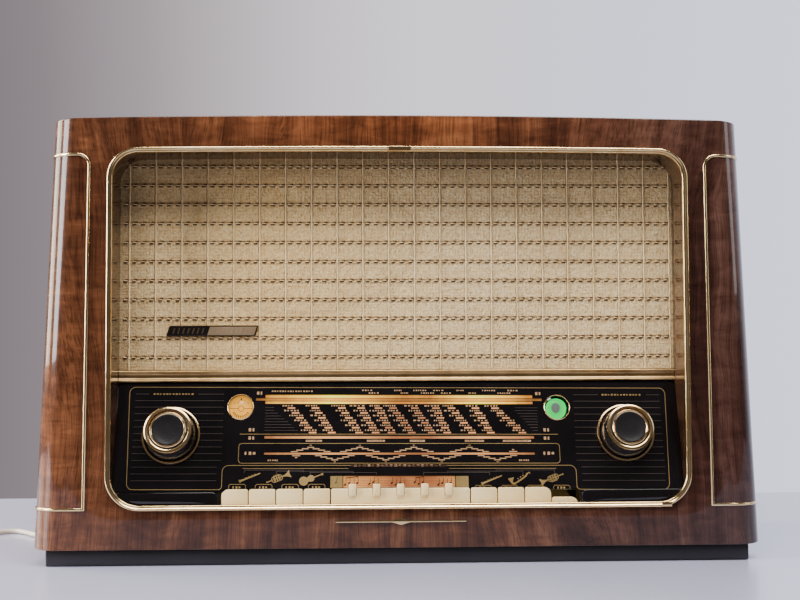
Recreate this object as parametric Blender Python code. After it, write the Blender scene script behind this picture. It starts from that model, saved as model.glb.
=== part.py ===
"""A table-top valve radio: walnut cabinet, lit tuning scale, piano keys and the works behind them.

Metres, +Z up.  +X is to the right of someone facing the radio, the front looks along -Y, and
the origin is under the middle of the radio, on the surface that it stands on.
"""
import math

import bmesh
import bpy
from mathutils import Matrix, Vector

# ---------------------------------------------------------------- driving dimensions
GAP = 0.0003                     # left between neighbours that touch
DEPTH = 0.280                    # front face to the rear edge of the cabinet
HALF_BOTTOM = 0.325              # half the width at the foot of the cabinet
HALF_TOP = 0.30975               # half the width at the top corners
BOTTOM_Z = 0.0146                # underside of the cabinet, on top of the plinth
CORNER_Z = 0.3948                # height of the top corners
TOP_Z = 0.3988                   # height of the crown
SIDE_WALL = 0.014
TOP_WALL = 0.012
FRONT_THICK = 0.027
CORNER_R = 0.026                 # rounding of the two upright front corners
LIP = 0.0035                     # thickness of the front rail where the keys pass behind it

OPENING_HALF = 0.2592            # the trimmed opening in the front
OPENING_LOW = 0.04865
OPENING_HIGH = 0.3707
OPENING_ARCH = 0.0017            # how far its top edge falls towards the corners
OPENING_R_TOP = 0.027
OPENING_R_LOW = 0.030
TRIM_FACE = 0.00475
TRIM_PROUD = 0.0025
RECESS = 0.0397                  # front face to the grille cloth

DIAL_TILT = math.radians(17.0)   # the scale leans back by this much
DIAL_Y = 0.0367                  # depth and height of the scale's top edge
DIAL_Z = 0.161
DIAL_HALF = 0.2536
DIAL_LENGTH = 0.101              # down the slope
GLASS = 0.004

KNOB_X = 0.2045
KNOB_S = -0.0508                 # down the slope from the scale's top edge
KNOB_RIM_R = 0.0200              # the knob's foremost rim
KNOB_RIM_H = 0.0242
EYE_X = 0.1439
EYE_S = -0.026
DISC_X = -0.1436
DISC_S = -0.024

KEY_PITCH = 0.0241
KEY_OUTER = 0.1585               # outer edge of the end keys
KEY_TOP = 0.0663
KEY_FRONT = 0.0042
KEY_PIVOT_Y = 0.080
KEY_PIVOT_Z = 0.056
KEY_TRAVEL = math.radians(6.8)
KEY_GAP = 0.001                  # between one key and the next
REGISTER_HALF = 0.0615
LEVER_PITCH = 0.0213
ORNAMENT_Z = 0.038               # the bar on the lower rail

CHASSIS_TOP = 0.082
BACK_COVER = 0.268               # depth of the rear cover's inner face

CORD_R = 0.0024
CORD_EXIT_X = -0.235
CORD_EXIT_Z = 0.046
RELIEF_LENGTH = 0.029
COIL_CENTRE = (-0.453, 0.165)    # x, and depth behind the front face
COIL_R = 0.0265                  # middle of the turns

# The foremost point is the lower rim of a knob, and the origin is half way from it to the back.
KNOB_REACH = (KNOB_RIM_H * math.cos(DIAL_TILT) + KNOB_RIM_R * math.sin(DIAL_TILT)
              - DIAL_Y - KNOB_S * math.sin(DIAL_TILT))
FRONT = (KNOB_REACH - DEPTH) / 2


# ---------------------------------------------------------------- helpers
def depth(value):
    """The y of a point that lies this far behind the front face."""
    return FRONT + value


def finish(name, colour, roughness, metallic=0.0):
    """A plain material."""
    material = bpy.data.materials.new(name)
    material.use_nodes = True
    shader = material.node_tree.nodes["Principled BSDF"]
    shader.inputs["Base Color"].default_value = (*colour, 1.0)
    shader.inputs["Roughness"].default_value = roughness
    shader.inputs["Metallic"].default_value = metallic
    return material


def add(name, mesh_data, material, parent=None, smooth=None):
    """Turn a bmesh into the object of one sub-part."""
    bmesh.ops.recalc_face_normals(mesh_data, faces=mesh_data.faces)
    mesh = bpy.data.meshes.new(name)
    mesh_data.to_mesh(mesh)
    mesh_data.free()
    mesh.materials.append(material)
    if smooth:
        mesh.shade_smooth()
        mesh.set_sharp_from_angle(angle=math.radians(smooth))
    thing = bpy.data.objects.new(name, mesh)
    bpy.context.scene.collection.objects.link(thing)
    thing.parent = parent
    return thing


def prism(outline, low, high, plane="xz"):
    """An outline in a plane, extruded across it from low to high."""
    place = {"xz": lambda u, v, w: (u, w, v),
             "yz": lambda u, v, w: (w, u, v),
             "xy": lambda u, v, w: (u, v, w)}[plane]
    mesh_data = bmesh.new()
    near = [mesh_data.verts.new(place(u, v, low)) for u, v in outline]
    far = [mesh_data.verts.new(place(u, v, high)) for u, v in outline]
    mesh_data.faces.new(near)
    mesh_data.faces.new(far)
    for index in range(len(outline)):
        after = (index + 1) % len(outline)
        mesh_data.faces.new((near[index], near[after], far[after], far[index]))
    return mesh_data


def box(x, y, z):
    """A block between the given pairs of limits."""
    return prism([(x[0], z[0]), (x[1], z[0]), (x[1], z[1]), (x[0], z[1])], y[0], y[1])


def ring_prism(outer, inner, low, high):
    """The band between two outlines of equally many points, extruded along y."""
    mesh_data = bmesh.new()
    loops = [[mesh_data.verts.new((x, y, z)) for x, z in outline]
             for outline, y in ((outer, low), (inner, low), (inner, high), (outer, high))]
    count = len(outer)
    for a, b in ((0, 1), (1, 2), (2, 3), (3, 0)):
        for index in range(count):
            after = (index + 1) % count
            mesh_data.faces.new((loops[a][index], loops[a][after], loops[b][after], loops[b][index]))
    return mesh_data


def turned(profile, segments, stretch=1.0):
    """A profile of (radius, height) turned about +Z; a closed one, unless it starts on the axis.

    Where two points in a row lie on the axis, the one surface ends and the other begins.
    """
    mesh_data = bmesh.new()
    rings = []
    for radius, height in profile:
        if radius == 0.0:
            rings.append([mesh_data.verts.new((0, 0, height))] * segments)
            continue
        turn = [2 * math.pi * step / segments for step in range(segments)]
        rings.append([mesh_data.verts.new((radius * stretch * math.cos(a), radius * math.sin(a), height))
                      for a in turn])
    pairs = list(zip(rings, rings[1:]))
    if profile[0][0] > 0.0:
        pairs.append((rings[-1], rings[0]))
    for lower, upper in pairs:
        if lower[0] is lower[1] and upper[0] is upper[1]:
            continue
        for step in range(segments):
            after = (step + 1) % segments
            corners = [lower[step], lower[after], upper[after], upper[step]]
            mesh_data.faces.new(list(dict.fromkeys(corners)))
    return mesh_data


def arc(centre, radius, start, stop, steps):
    """Points on an arc, with its angles in degrees."""
    angles = [math.radians(start + (stop - start) * step / steps) for step in range(steps + 1)]
    return [(centre[0] + radius * math.cos(a), centre[1] + radius * math.sin(a)) for a in angles]


def rounded(x, z, radius, steps=4):
    """A rectangle with rounded corners, anticlockwise from its lower right corner."""
    points = []
    left, right = x[0] + radius, x[1] - radius
    low, high = z[0] + radius, z[1] - radius
    for centre, start in (((right, low), -90), ((right, high), 0), ((left, high), 90), ((left, low), 180)):
        points += arc(centre, radius, start, start + 90, steps)
    return points


def boolean(thing, other, operation):
    """Cut another solid out of an object, or join it on."""
    tool = add(thing.name + "_tool", other, thing.data.materials[0], thing.parent)
    tool.matrix_basis = thing.matrix_basis
    tool.hide_render = True
    tool.display_type = "WIRE"
    modifier = thing.modifiers.new(operation.title(), "BOOLEAN")
    modifier.operation = operation
    modifier.object = tool


def cut(thing, other):
    boolean(thing, other, "DIFFERENCE")


def join(thing, other):
    boolean(thing, other, "UNION")


def merged(parts):
    """Several separate shapes in one bmesh, for one cutter."""
    whole = parts[0]
    for part in parts[1:]:
        lookup = {vert: whole.verts.new(vert.co) for vert in part.verts}
        for face in part.faces:
            whole.faces.new([lookup[vert] for vert in face.verts])
        part.free()
    return whole


def moved(mesh_data, x=0.0, y=0.0, z=0.0):
    bmesh.ops.translate(mesh_data, verts=mesh_data.verts, vec=(x, y, z))
    return mesh_data


# ---------------------------------------------------------------- shapes that several pieces share
def half_width(z):
    """Half the cabinet's width at a height: its sides lean inwards."""
    return HALF_BOTTOM - (z - BOTTOM_Z) * (HALF_BOTTOM - HALF_TOP) / (CORNER_Z - BOTTOM_Z)


def crown(x):
    """Height of the cabinet's top, which is slightly arched."""
    return TOP_Z - (TOP_Z - CORNER_Z) * (x / HALF_TOP) ** 2


def crown_line(half, drop, steps=12):
    """The arched top line from right to left, lowered by a drop."""
    across = [half - 2 * half * step / steps for step in range(steps + 1)]
    return [(x, crown(x) - drop) for x in across]


def opening(inset):
    """The outline of the trimmed opening, drawn in by an inset, anticlockwise."""
    half = OPENING_HALF - inset
    low = OPENING_LOW + inset
    high = OPENING_HIGH - inset
    r_low = OPENING_R_LOW - inset
    r_top = OPENING_R_TOP - inset
    points = arc((half - r_low, low + r_low), r_low, -90, 0, 6)
    points += arc((half - r_top, high - r_top), r_top, 0, 90, 6)
    points += [((half - r_top) * (1 - step / 3), high) for step in range(1, 6)]
    points += arc((-half + r_top, high - r_top), r_top, 90, 180, 6)
    points += arc((-half + r_low, low + r_low), r_low, 180, 270, 6)
    middle = (low + high) / 2
    return [(x, z - OPENING_ARCH * (x / half) ** 2 * max(0.0, (z - middle) / (high - middle)))
            for x, z in points]


# ---------------------------------------------------------------- cabinet
def make_cabinet(wood, black):
    corner = [(-half_width(BOTTOM_Z), BOTTOM_Z), (half_width(BOTTOM_Z), BOTTOM_Z)]
    face = prism(corner + crown_line(HALF_TOP, 0.0), depth(0), depth(FRONT_THICK))
    upright = [edge for edge in face.edges
               if all(vert.co.y < depth(0.001) for vert in edge.verts)
               and abs(edge.verts[0].co.z - edge.verts[1].co.z) > 0.3]
    bmesh.ops.bevel(face, geom=upright, offset=CORNER_R, segments=6, profile=0.5, affect="EDGES")
    front = add("front_frame", face, wood, smooth=30)
    cut(front, prism(opening(0.0004), depth(-0.01), depth(FRONT_THICK + 0.01)))
    cut(front, box((-0.2588, 0.2588), (depth(LIP), depth(FRONT_THICK + 0.01)), (0.034, 0.080)))

    behind = (depth(FRONT_THICK + GAP), depth(DEPTH))
    shelf = crown(HALF_TOP) - TOP_WALL
    top = crown_line(HALF_TOP, 0.0) + crown_line(half_width(shelf), TOP_WALL)[::-1]
    add("top_panel", prism(top, *behind), wood, smooth=30)

    head = shelf - GAP
    for name, side in (("left_side", -1), ("right_side", 1)):
        outline = [(side * half_width(BOTTOM_Z), BOTTOM_Z), (side * half_width(head), head),
                   (side * (half_width(head) - SIDE_WALL), head),
                   (side * (half_width(BOTTOM_Z) - SIDE_WALL), BOTTOM_Z)]
        add(name, prism(outline, *behind), wood)

    inside = half_width(BOTTOM_Z + TOP_WALL) - SIDE_WALL - GAP
    add("bottom_board", box((-inside, inside), behind, (BOTTOM_Z, BOTTOM_Z + TOP_WALL)), wood)
    add("plinth", box((-0.312, 0.312), (depth(0.008), depth(0.272)), (0, BOTTOM_Z - GAP)), black)


def make_front_dressing(gold, brass, lining, bronze, black):
    add("front_trim", ring_prism(opening(0), opening(TRIM_FACE), depth(-TRIM_PROUD), depth(-GAP)),
        gold, smooth=30)

    foot = 0.066
    arch = [[point for point in opening(inset) if point[1] > 0.2] for inset in (0.0008, TRIM_FACE)]
    outline = [(arch[0][0][0], foot)] + arch[0] + [(arch[0][-1][0], foot)]
    outline += [(arch[1][-1][0], foot)] + arch[1][::-1] + [(arch[1][0][0], foot)]
    add("recess_lining", prism(outline, depth(LIP + GAP), depth(RECESS)), lining, smooth=30)

    profile = [(depth(0.0396), 0.1606), (depth(0.0340), 0.1606), (depth(0.0337), 0.1625),
               (depth(0.0358), 0.1640), (depth(0.0358), 0.1680), (depth(0.0340), 0.1695),
               (depth(0.0345), 0.1710), (depth(0.0396), 0.1710)]
    add("divider_bar", prism(profile, -0.2540, 0.2540, "yz"), bronze)

    bar, ray = 0.0008, 0.0032
    lower = [(-0.0575, -bar), (-0.008, -bar), (0, -ray), (0.008, -bar), (0.0575, -bar)]
    ornament = lower + [(x, -z) for x, z in lower[::-1]]
    add("ornament_bar", moved(prism(ornament, depth(-0.0018), depth(-GAP)), z=ORNAMENT_Z), brass)
    badge = [(-0.2115, 0.2025), (-0.1315, 0.2025), (-0.1287, 0.2114), (-0.2087, 0.2114)]
    add("badge_plate", prism(badge, depth(0.0382), depth(RECESS)), black)


def strip_route(side):
    """The middle line of a side strip, as points and the directions that its face looks in."""
    high, low, line_x, bend = 0.3628, 0.0503, 0.275, 0.009
    rear = 0.272
    route = []
    for z, order in ((high, 1), (low, -1)):
        half = half_width(z)
        run = [((half, depth(rear), z), (1, 0, 0))]
        for step in range(7):
            turn = math.radians(90 * step / 6)
            normal = (math.cos(turn), -math.sin(turn), 0)
            run.append(((half - CORNER_R + CORNER_R * normal[0],
                         depth(CORNER_R) + CORNER_R * normal[1], z), normal))
        if order > 0:
            run += [((x, depth(0), z_bend), (0, -1, 0))
                    for x, z_bend in arc((line_x + bend, high - bend), bend, 90, 180, 4)]
        else:
            run.append(((line_x + 0.0026, depth(0), z), (0, -1, 0)))
        route += run[::order]
    return [(Vector((side * p[0], p[1], p[2])), Vector((side * n[0], n[1], n[2]))) for p, n in route]


def make_side_strips(brass):
    width, thick = 0.0025, 0.0008
    for name, side in (("left_strip", -1), ("right_strip", 1)):
        route = strip_route(side)
        mesh_data = bmesh.new()
        rings = []
        for index, (point, normal) in enumerate(route):
            before = (point - route[index - 1][0]).normalized() if index else None
            after = (route[index + 1][0] - point).normalized() if index + 1 < len(route) else None
            tangent = ((before or after) + (after or before)).normalized()
            across = tangent.cross(normal).normalized() * width / 2
            if before and after:
                across /= max(0.5, tangent.dot(after))
            base = point + normal * GAP
            lift = normal * thick
            corners = (base - across, base + across, base + across + lift, base - across + lift)
            rings.append([mesh_data.verts.new(place) for place in corners])
        for first, second in zip(rings, rings[1:]):
            for edge in range(4):
                after = (edge + 1) % 4
                mesh_data.faces.new((first[edge], first[after], second[after], second[edge]))
        mesh_data.faces.new(rings[0])
        mesh_data.faces.new(rings[-1])
        add(name, mesh_data, brass, smooth=30)


def make_grille(board, cloth):
    baffle = add("speaker_baffle", box((-0.256, 0.256), (depth(0.0418), depth(0.0508)),
                                       (0.172, 0.3665)), board)
    oval = turned([(0, -0.02), (0.066, -0.02), (0.066, 0.02), (0, 0.02)], 28, stretch=1.6)
    small = turned([(0, -0.02), (0.033, -0.02), (0.033, 0.02), (0, 0.02)], 20)
    for hole, x, z in ((oval, -0.090, 0.288), (small, 0.143, 0.298)):
        bmesh.ops.rotate(hole, verts=hole.verts, matrix=QUARTER_TURN)
        moved(hole, x, depth(0.046), z)
    cut(baffle, merged([oval, small]))
    add("grille_cloth", box((-0.258, 0.258), (depth(0.0400), depth(0.0412)), (0.1714, 0.3675)), cloth)


# ---------------------------------------------------------------- scale, eye and pointer
def make_dial(glass, steel, black, orange, plane):
    """Everything on the leaning scale, in its own x, slope and normal directions."""
    pane = add("dial_glass", prism(rounded((-DIAL_HALF, DIAL_HALF), (-DIAL_LENGTH, -0.002), 0.004),
                                   -GLASS, 0, "xy"), glass, plane)
    shafts = [moved(turned([(0, -0.03), (0.0075, -0.03), (0.0075, 0.01), (0, 0.01)], 20), x, KNOB_S)
              for x in (-KNOB_X, KNOB_X)]
    cut(pane, merged(shafts))

    plate = add("dial_plate", prism(rounded((-0.250, 0.250), (-0.097, -0.004), 0.004),
                                    -0.012, -0.0108, "xy"), steel, plane)
    holes = [moved(turned([(0, -0.03), (r, -0.03), (r, 0.01), (0, 0.01)], 20), x, s)
             for r, x, s in ((0.0080, -KNOB_X, KNOB_S), (0.0080, KNOB_X, KNOB_S),
                             (0.0128, EYE_X, EYE_S), (0.0040, DISC_X, DISC_S))]
    cut(plate, merged(holes))

    rail = turned([(0, -0.150), (0.0012, -0.150), (0.0012, 0.150), (0, 0.150)], 10)
    bmesh.ops.rotate(rail, verts=rail.verts, matrix=SIDE_TURN)
    add("pointer_rail", moved(rail, 0, -0.010, -0.0091), steel, plane, smooth=40)

    clasp = [(-0.0075, -0.0103), (-0.0075, -0.0055), (-0.0125, -0.0055), (-0.0125, -0.0103),
             (-0.0115, -0.0103), (-0.0115, -0.0076), (-0.0085, -0.0076), (-0.0085, -0.0103)]
    pointer = add("pointer", prism(clasp, -0.006, 0.006, "yz"), black, plane)
    needle = [(-0.0006, -0.0118), (0.0006, -0.0118), (0.0006, -0.080), (-0.0006, -0.080)]
    join(pointer, prism(needle, -0.0072, -0.0060, "xy"))

    tube = [(0, -0.062), (0.0085, -0.062), (0.0112, -0.056), (0.0112, -0.010), (0.0098, -0.0065),
            (0, -0.0050)]
    eye = add("magic_eye", turned(tube, 20), glass, plane, smooth=40)
    eye.location = (EYE_X, EYE_S, 0)

    face = [(0, -0.026), (0.0025, -0.026), (0.0025, -0.0085), (0.0117, -0.0085), (0.0117, -0.0060),
            (0, -0.0055)]
    disc = add("antenna_indicator", turned(face, 24), orange, plane, smooth=40)
    disc.location = (DISC_X, DISC_S, 0)


def make_knobs(gold, black, steel, plane):
    """Two concentric pairs: a ring at the back and a knob in front of it."""
    ring = [(0.0040, -0.0180), (0.0068, -0.0180), (0.0068, 0.0008), (0.0258, 0.0008), (0.0262, 0.0014),
            (0.0262, 0.0038), (0.0256, 0.0045), (0.0238, 0.0045), (0.0232, 0.0036), (0.0198, 0.0188),
            (0.0190, 0.0194), (0.0040, 0.0194)]
    knob = [(0, -0.040), (0.0030, -0.040), (0.0030, 0.0198), (0.0204, 0.0200), (0.0210, 0.0210),
            (0.0210, 0.0232), (KNOB_RIM_R, KNOB_RIM_H), (0.0176, 0.0241), (0.0171, 0.0226),
            (0.0160, 0.0226), (0.0157, 0.0246), (0.0143, 0.0246), (0.0139, 0.0236), (0, 0.0228)]
    for name, x in (("left", -KNOB_X), ("right", KNOB_X)):
        for piece, profile, material in (("ring", ring, black), ("knob", knob, gold)):
            thing = add(f"{name}_{piece}", turned(profile, 32), material, plane, smooth=35)
            thing.location = (x, KNOB_S, 0)
    wheel = [(0, -0.0500), (0.0235, -0.0500), (0.0235, -0.0430), (0.0080, -0.0415), (0, -0.0403)]
    flywheel = add("flywheel", turned(wheel, 24), steel, plane, smooth=35)
    flywheel.location = (KNOB_X, KNOB_S, 0)


# ---------------------------------------------------------------- keys and register
def key_outline(front, top, back_top=0.0600):
    """The side view of a key, as y and z measured from its pivot."""
    face = depth(front) - depth(KEY_PIVOT_Y)
    shape = [(front, 0.0485), (front - 0.0004, 0.0570), (front, top - 0.0022), (front + 0.0008, top),
             (0.0069, top), (0.0069, back_top), (KEY_PIVOT_Y + 0.003, KEY_PIVOT_Z + 0.004),
             (KEY_PIVOT_Y + 0.003, KEY_PIVOT_Z - 0.004), (0.0069, 0.0485)]
    return [(face + y - front, z - KEY_PIVOT_Z) for y, z in shape]


def make_keys(ivory, black):
    edges = [KEY_OUTER - KEY_PITCH * step for step in range(5)]
    names = [f"{side}_key_{number}" for side in ("left", "right") for number in range(1, 5)]
    reach = [(inner + KEY_GAP / 2, outer - KEY_GAP / 2) for outer, inner in zip(edges, edges[1:])]
    spans = [(-outer, -inner) for inner, outer in reach] + reach[::-1]
    for name, (low, high) in zip(names, spans):
        middle = (low + high) / 2
        key = add(name, prism(key_outline(KEY_FRONT, KEY_TOP), low - middle, high - middle, "yz"), ivory)
        key.location = (middle, depth(KEY_PIVOT_Y), KEY_PIVOT_Z)
        if name == "right_key_4":
            key.rotation_euler.x = KEY_TRAVEL

    frame_half, well, base = 0.2583, 0.1600, 0.0345
    outline = [(-frame_half, base), (frame_half, base), (frame_half, 0.0628), (well, 0.0628),
               (well, base + 0.003), (-well, base + 0.003), (-well, 0.0628), (-frame_half, 0.0628)]
    add("key_frame", prism(outline, depth(0.0040), depth(0.0266)), black)

    block = [(0.0042, 0.0485), (0.0038, 0.0570), (0.0042, KEY_TOP - 0.0022), (0.0050, KEY_TOP),
             (0.0069, KEY_TOP), (0.0069, 0.0600), (0.0260, 0.0600), (0.0260, 0.0378), (0.0069, 0.0378)]
    outline = [(depth(y), z) for y, z in block]
    register = add("register_block", prism(outline, -REGISTER_HALF, REGISTER_HALF, "yz"), ivory)
    places = [LEVER_PITCH * (number - 2) for number in range(5)]
    cut(register, merged([box((x - 0.0036, x + 0.0036), (depth(0.001), depth(0.0075)), (0.0605, 0.070))
                          for x in places]))
    side = [(0.0020, 0.0600), (0.0036, 0.0600), (0.0036, 0.0656), (0.0066, 0.0656), (0.0066, 0.0705),
            (0.0026, 0.0705), (0.0020, 0.0698)]
    for number, x in enumerate(places, 1):
        lever = add(f"register_lever_{number}", prism(side, -0.0032, 0.0032, "yz"), ivory)
        lever.location = (x, depth(0), 0)


# ---------------------------------------------------------------- the works
def make_speakers(iron):
    """Frame, cone and magnet of each loudspeaker, opening towards the front."""
    oval = [(0.0760, 0.0), (0.0760, -0.0025), (0.0690, -0.0030), (0.0340, -0.0400), (0.0340, -0.0700),
            (0.0, -0.0700), (0.0, -0.0340), (0.0180, -0.0300), (0.0660, 0.0)]
    treble = [(0.0420, 0.0), (0.0420, -0.0020), (0.0360, -0.0025), (0.0200, -0.0200), (0.0200, -0.0380),
              (0.0, -0.0380), (0.0, -0.0160), (0.0100, -0.0150), (0.0330, 0.0)]
    for name, profile, stretch, x, z in (("oval_speaker", oval, 1.5, -0.090, 0.288),
                                         ("treble_speaker", treble, 1.0, 0.143, 0.298)):
        speaker = add(name, turned(profile, 28, stretch), iron, smooth=35)
        speaker.location = (x, depth(0.0508 + GAP), z)
        speaker.rotation_euler.x = math.radians(90)


def make_chassis(steel, iron, glass, brass, black):
    tray = ((-0.255, 0.255), (depth(0.092), depth(0.250)), (BOTTOM_Z + TOP_WALL + GAP, CHASSIS_TOP))
    sheet = 0.0012
    chassis = add("chassis", box(*tray), steel)
    cut(chassis, box((tray[0][0] + sheet, tray[0][1] - sheet), (tray[1][0] + sheet, tray[1][1] - sheet),
                     (0, CHASSIS_TOP - sheet)))

    floor = CHASSIS_TOP + GAP
    mains = add("mains_transformer", box((0.165, 0.245), (depth(0.160), depth(0.226)),
                                         (floor, floor + 0.030)), iron)
    join(mains, box((0.178, 0.232), (depth(0.168), depth(0.218)), (floor + 0.010, floor + 0.070)))
    output = add("output_transformer", box((-0.232, -0.176), (depth(0.176), depth(0.212)),
                                           (floor, floor + 0.044)), iron)
    join(output, box((-0.222, -0.186), (depth(0.168), depth(0.220)), (floor + 0.008, floor + 0.036)))

    frame = [(0.085, floor), (0.143, floor), (0.143, floor + 0.052), (0.085, floor + 0.052)]
    gang = add("capacitor_frame", prism(frame, depth(0.118), depth(0.172)), steel)
    cut(gang, box((0.080, 0.150), (depth(0.1205), depth(0.1695)), (floor + 0.003, floor + 0.06)))
    plates = arc((0, 0), 0.020, -90, 90, 12) + [(-0.003, 0.005), (-0.003, -0.005)]
    rotor = add("capacitor_rotor", prism(plates, -0.0240, 0.0240), brass)
    rotor.location = (0.114, depth(0.145), floor + 0.028)

    rod = turned([(0, -0.070), (0.0050, -0.070), (0.0050, -0.055), (0.0070, -0.055), (0.0070, -0.030),
                  (0.0050, -0.030), (0.0050, 0.030), (0.0070, 0.030), (0.0070, 0.055), (0.0050, 0.055),
                  (0.0050, 0.070), (0, 0.070)], 14)
    bmesh.ops.rotate(rod, verts=rod.verts, matrix=SIDE_TURN)
    antenna = add("ferrite_antenna", rod, iron, smooth=35)
    antenna.location = (-0.020, depth(0.180), 0.175)

    bulb = [(0, 0), (0.0095, 0), (0.0110, 0.002), (0.0110, 0.050), (0.0085, 0.056), (0.0030, 0.058),
            (0.0015, 0.062), (0, 0.063)]
    for number, (x, y, size) in enumerate(((-0.130, 0.200, 1.10), (-0.075, 0.215, 0.95),
                                           (0.010, 0.215, 0.95), (0.060, 0.215, 0.95)), 1):
        shape = [(radius, height * size) for radius, height in bulb]
        valve = add(f"valve_{number}", turned(shape, 14), glass, smooth=40)
        valve.location = (x, depth(y), floor)
    can = prism(rounded((-0.0125, 0.0125), (-0.0125, 0.0125), 0.003, 2), 0, 0.048, "xy")
    shield = add("filter_can", can, steel, smooth=40)
    shield.location = (-0.030, depth(0.205), floor)


def make_back(board, black):
    """The rear cover with its vents, and the socket board set into it."""
    low = BOTTOM_Z + TOP_WALL + 0.0006
    outline = [(-(half_width(low) - SIDE_WALL - 0.0006), low), (half_width(low) - SIDE_WALL - 0.0006, low)]
    shelf = crown(HALF_TOP) - TOP_WALL - 0.0006
    outline += crown_line(half_width(shelf) - SIDE_WALL - 0.0006, TOP_WALL + 0.0006 + 0.0001, 8)
    cover = add("back_cover", prism(outline, depth(BACK_COVER), depth(BACK_COVER + 0.003)), board)
    through = (depth(BACK_COVER - 0.01), depth(BACK_COVER + 0.01))
    slots = [box((x - 0.002, x + 0.002), through, (z, z + 0.034))
             for z in (0.115, 0.300) for x in [-0.210 + 0.035 * step for step in range(13)]]
    socket_x, socket_z = (0.090, 0.226), (0.046, 0.090)
    slots.append(box((socket_x[0] - 0.0005, socket_x[1] + 0.0005), through,
                     (socket_z[0] - 0.0005, socket_z[1] + 0.0005)))
    cut(cover, merged(slots))

    panel = add("socket_panel", box(socket_x, (depth(0.2655), depth(0.2720)), socket_z), black)
    pins = []
    for column in range(4):
        for row in (0, 1):
            pin = turned([(0, -0.004), (0.0021, -0.004), (0.0021, 0.004), (0, 0.004)], 10)
            bmesh.ops.rotate(pin, verts=pin.verts, matrix=QUARTER_TURN)
            pins.append(moved(pin, 0.108 + 0.0335 * column, depth(0.2720), 0.058 + 0.020 * row))
    cut(panel, merged(pins))


# ---------------------------------------------------------------- mains lead
def smooth_line(route, steps):
    """Points on a smooth curve through the points of a route."""
    points = [Vector(point) for point in route]
    padded = [points[0] * 2 - points[1]] + points + [points[-1] * 2 - points[-2]]
    line = []
    for a, b, c, d in zip(padded, padded[1:], padded[2:], padded[3:]):
        for step in range(steps):
            t = step / steps
            line.append(0.5 * (2 * b + (c - a) * t + (2 * a - 5 * b + 4 * c - d) * t ** 2
                               + (3 * b - a - 3 * c + d) * t ** 3))
    return line + [points[-1]]


def make_mains_lead(rubber, cream):
    """The lead leaves the back, drops to the table and passes the left side into its coil."""
    shape = [(0, 0), (0.0085, 0), (0.0085, 0.0030), (0.0060, 0.0040), (0.0034, RELIEF_LENGTH),
             (0, RELIEF_LENGTH)]
    relief = add("strain_relief", turned(shape, 14), rubber, smooth=40)
    relief.location = (CORD_EXIT_X, depth(BACK_COVER + 0.003 + GAP), CORD_EXIT_Z)
    relief.rotation_euler.x = math.radians(-90)

    start = BACK_COVER + 0.003 + 2 * GAP + RELIEF_LENGTH
    rest = 0.0026
    route = [(CORD_EXIT_X, start, CORD_EXIT_Z), (-0.2352, start + 0.012, 0.0452),
             (-0.2370, 0.333, 0.0330), (-0.2410, 0.347, 0.0150), (-0.2500, 0.362, 0.0040)]
    on_table = [(-0.2680, 0.374), (-0.2920, 0.374), (-0.3140, 0.360), (-0.3280, 0.335), (-0.3345, 0.300),
                (-0.3355, 0.255), (-0.3355, 0.215), (-0.3405, 0.200), (-0.3540, 0.193), (-0.3690, 0.199),
                (-0.3810, 0.215), (-0.3940, 0.227), (-0.4080, 0.223), (-0.4170, 0.208), (-0.4205, 0.1935),
                (-0.4215, 0.1835)]
    route += [(x, y, rest) for x, y in on_table]
    lead = bpy.data.curves.new("cord_lead", "CURVE")
    lead.dimensions = "3D"
    lead.bevel_depth = CORD_R
    lead.bevel_resolution = 2
    lead.use_fill_caps = True
    line = smooth_line(route, 3)
    spline = lead.splines.new("POLY")
    spline.points.add(len(line) - 1)
    for point, place in zip(spline.points, line):
        point.co = (place.x, depth(place.y), place.z, 1.0)
    lead.materials.append(cream)
    bpy.context.scene.collection.objects.link(bpy.data.objects.new("cord_lead", lead))

    thick = 3 * 2 * CORD_R
    inner, outer = COIL_R - thick / 2, COIL_R + thick / 2
    edge = 0.0018
    section = [(inner, edge), (inner + edge, 0), (outer - edge, 0), (outer, edge), (outer, thick - edge),
               (outer - edge, thick), (inner + edge, thick), (inner, thick - edge)]
    coil = add("cord_coil", turned(section, 32), cream, smooth=40)
    coil.location = (COIL_CENTRE[0], depth(COIL_CENTRE[1]), 0.0002)

    tail_x = COIL_CENTRE[0] - COIL_R - 2 * CORD_R
    body = [(-0.0036, 0), (0.0036, 0), (0.0060, 0.012), (0.0165, 0.022), (0.0175, 0.040), (-0.0175, 0.040),
            (-0.0165, 0.022), (-0.0060, 0.012)]
    plug = add("plug", prism(body, 0.0003, 0.0153, "xy"), cream)
    plug.location = (tail_x, depth(COIL_CENTRE[1] + 0.0195), 0)
    for side in (-1, 1):
        pin = turned([(0, 0.038), (0.0023, 0.038), (0.0023, 0.057), (0.0015, 0.059), (0, 0.059)], 10)
        bmesh.ops.rotate(pin, verts=pin.verts, matrix=FORWARD_TURN)
        join(plug, moved(pin, side * 0.0095, 0, 0.0078))


# ---------------------------------------------------------------- the whole radio
def turn_matrix(angle, axis):
    return Matrix.Rotation(math.radians(angle), 3, axis)


QUARTER_TURN = turn_matrix(90, "X")      # +Z towards the front
FORWARD_TURN = turn_matrix(-90, "X")     # +Z towards the rear
SIDE_TURN = turn_matrix(90, "Y")         # +Z towards +X


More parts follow.
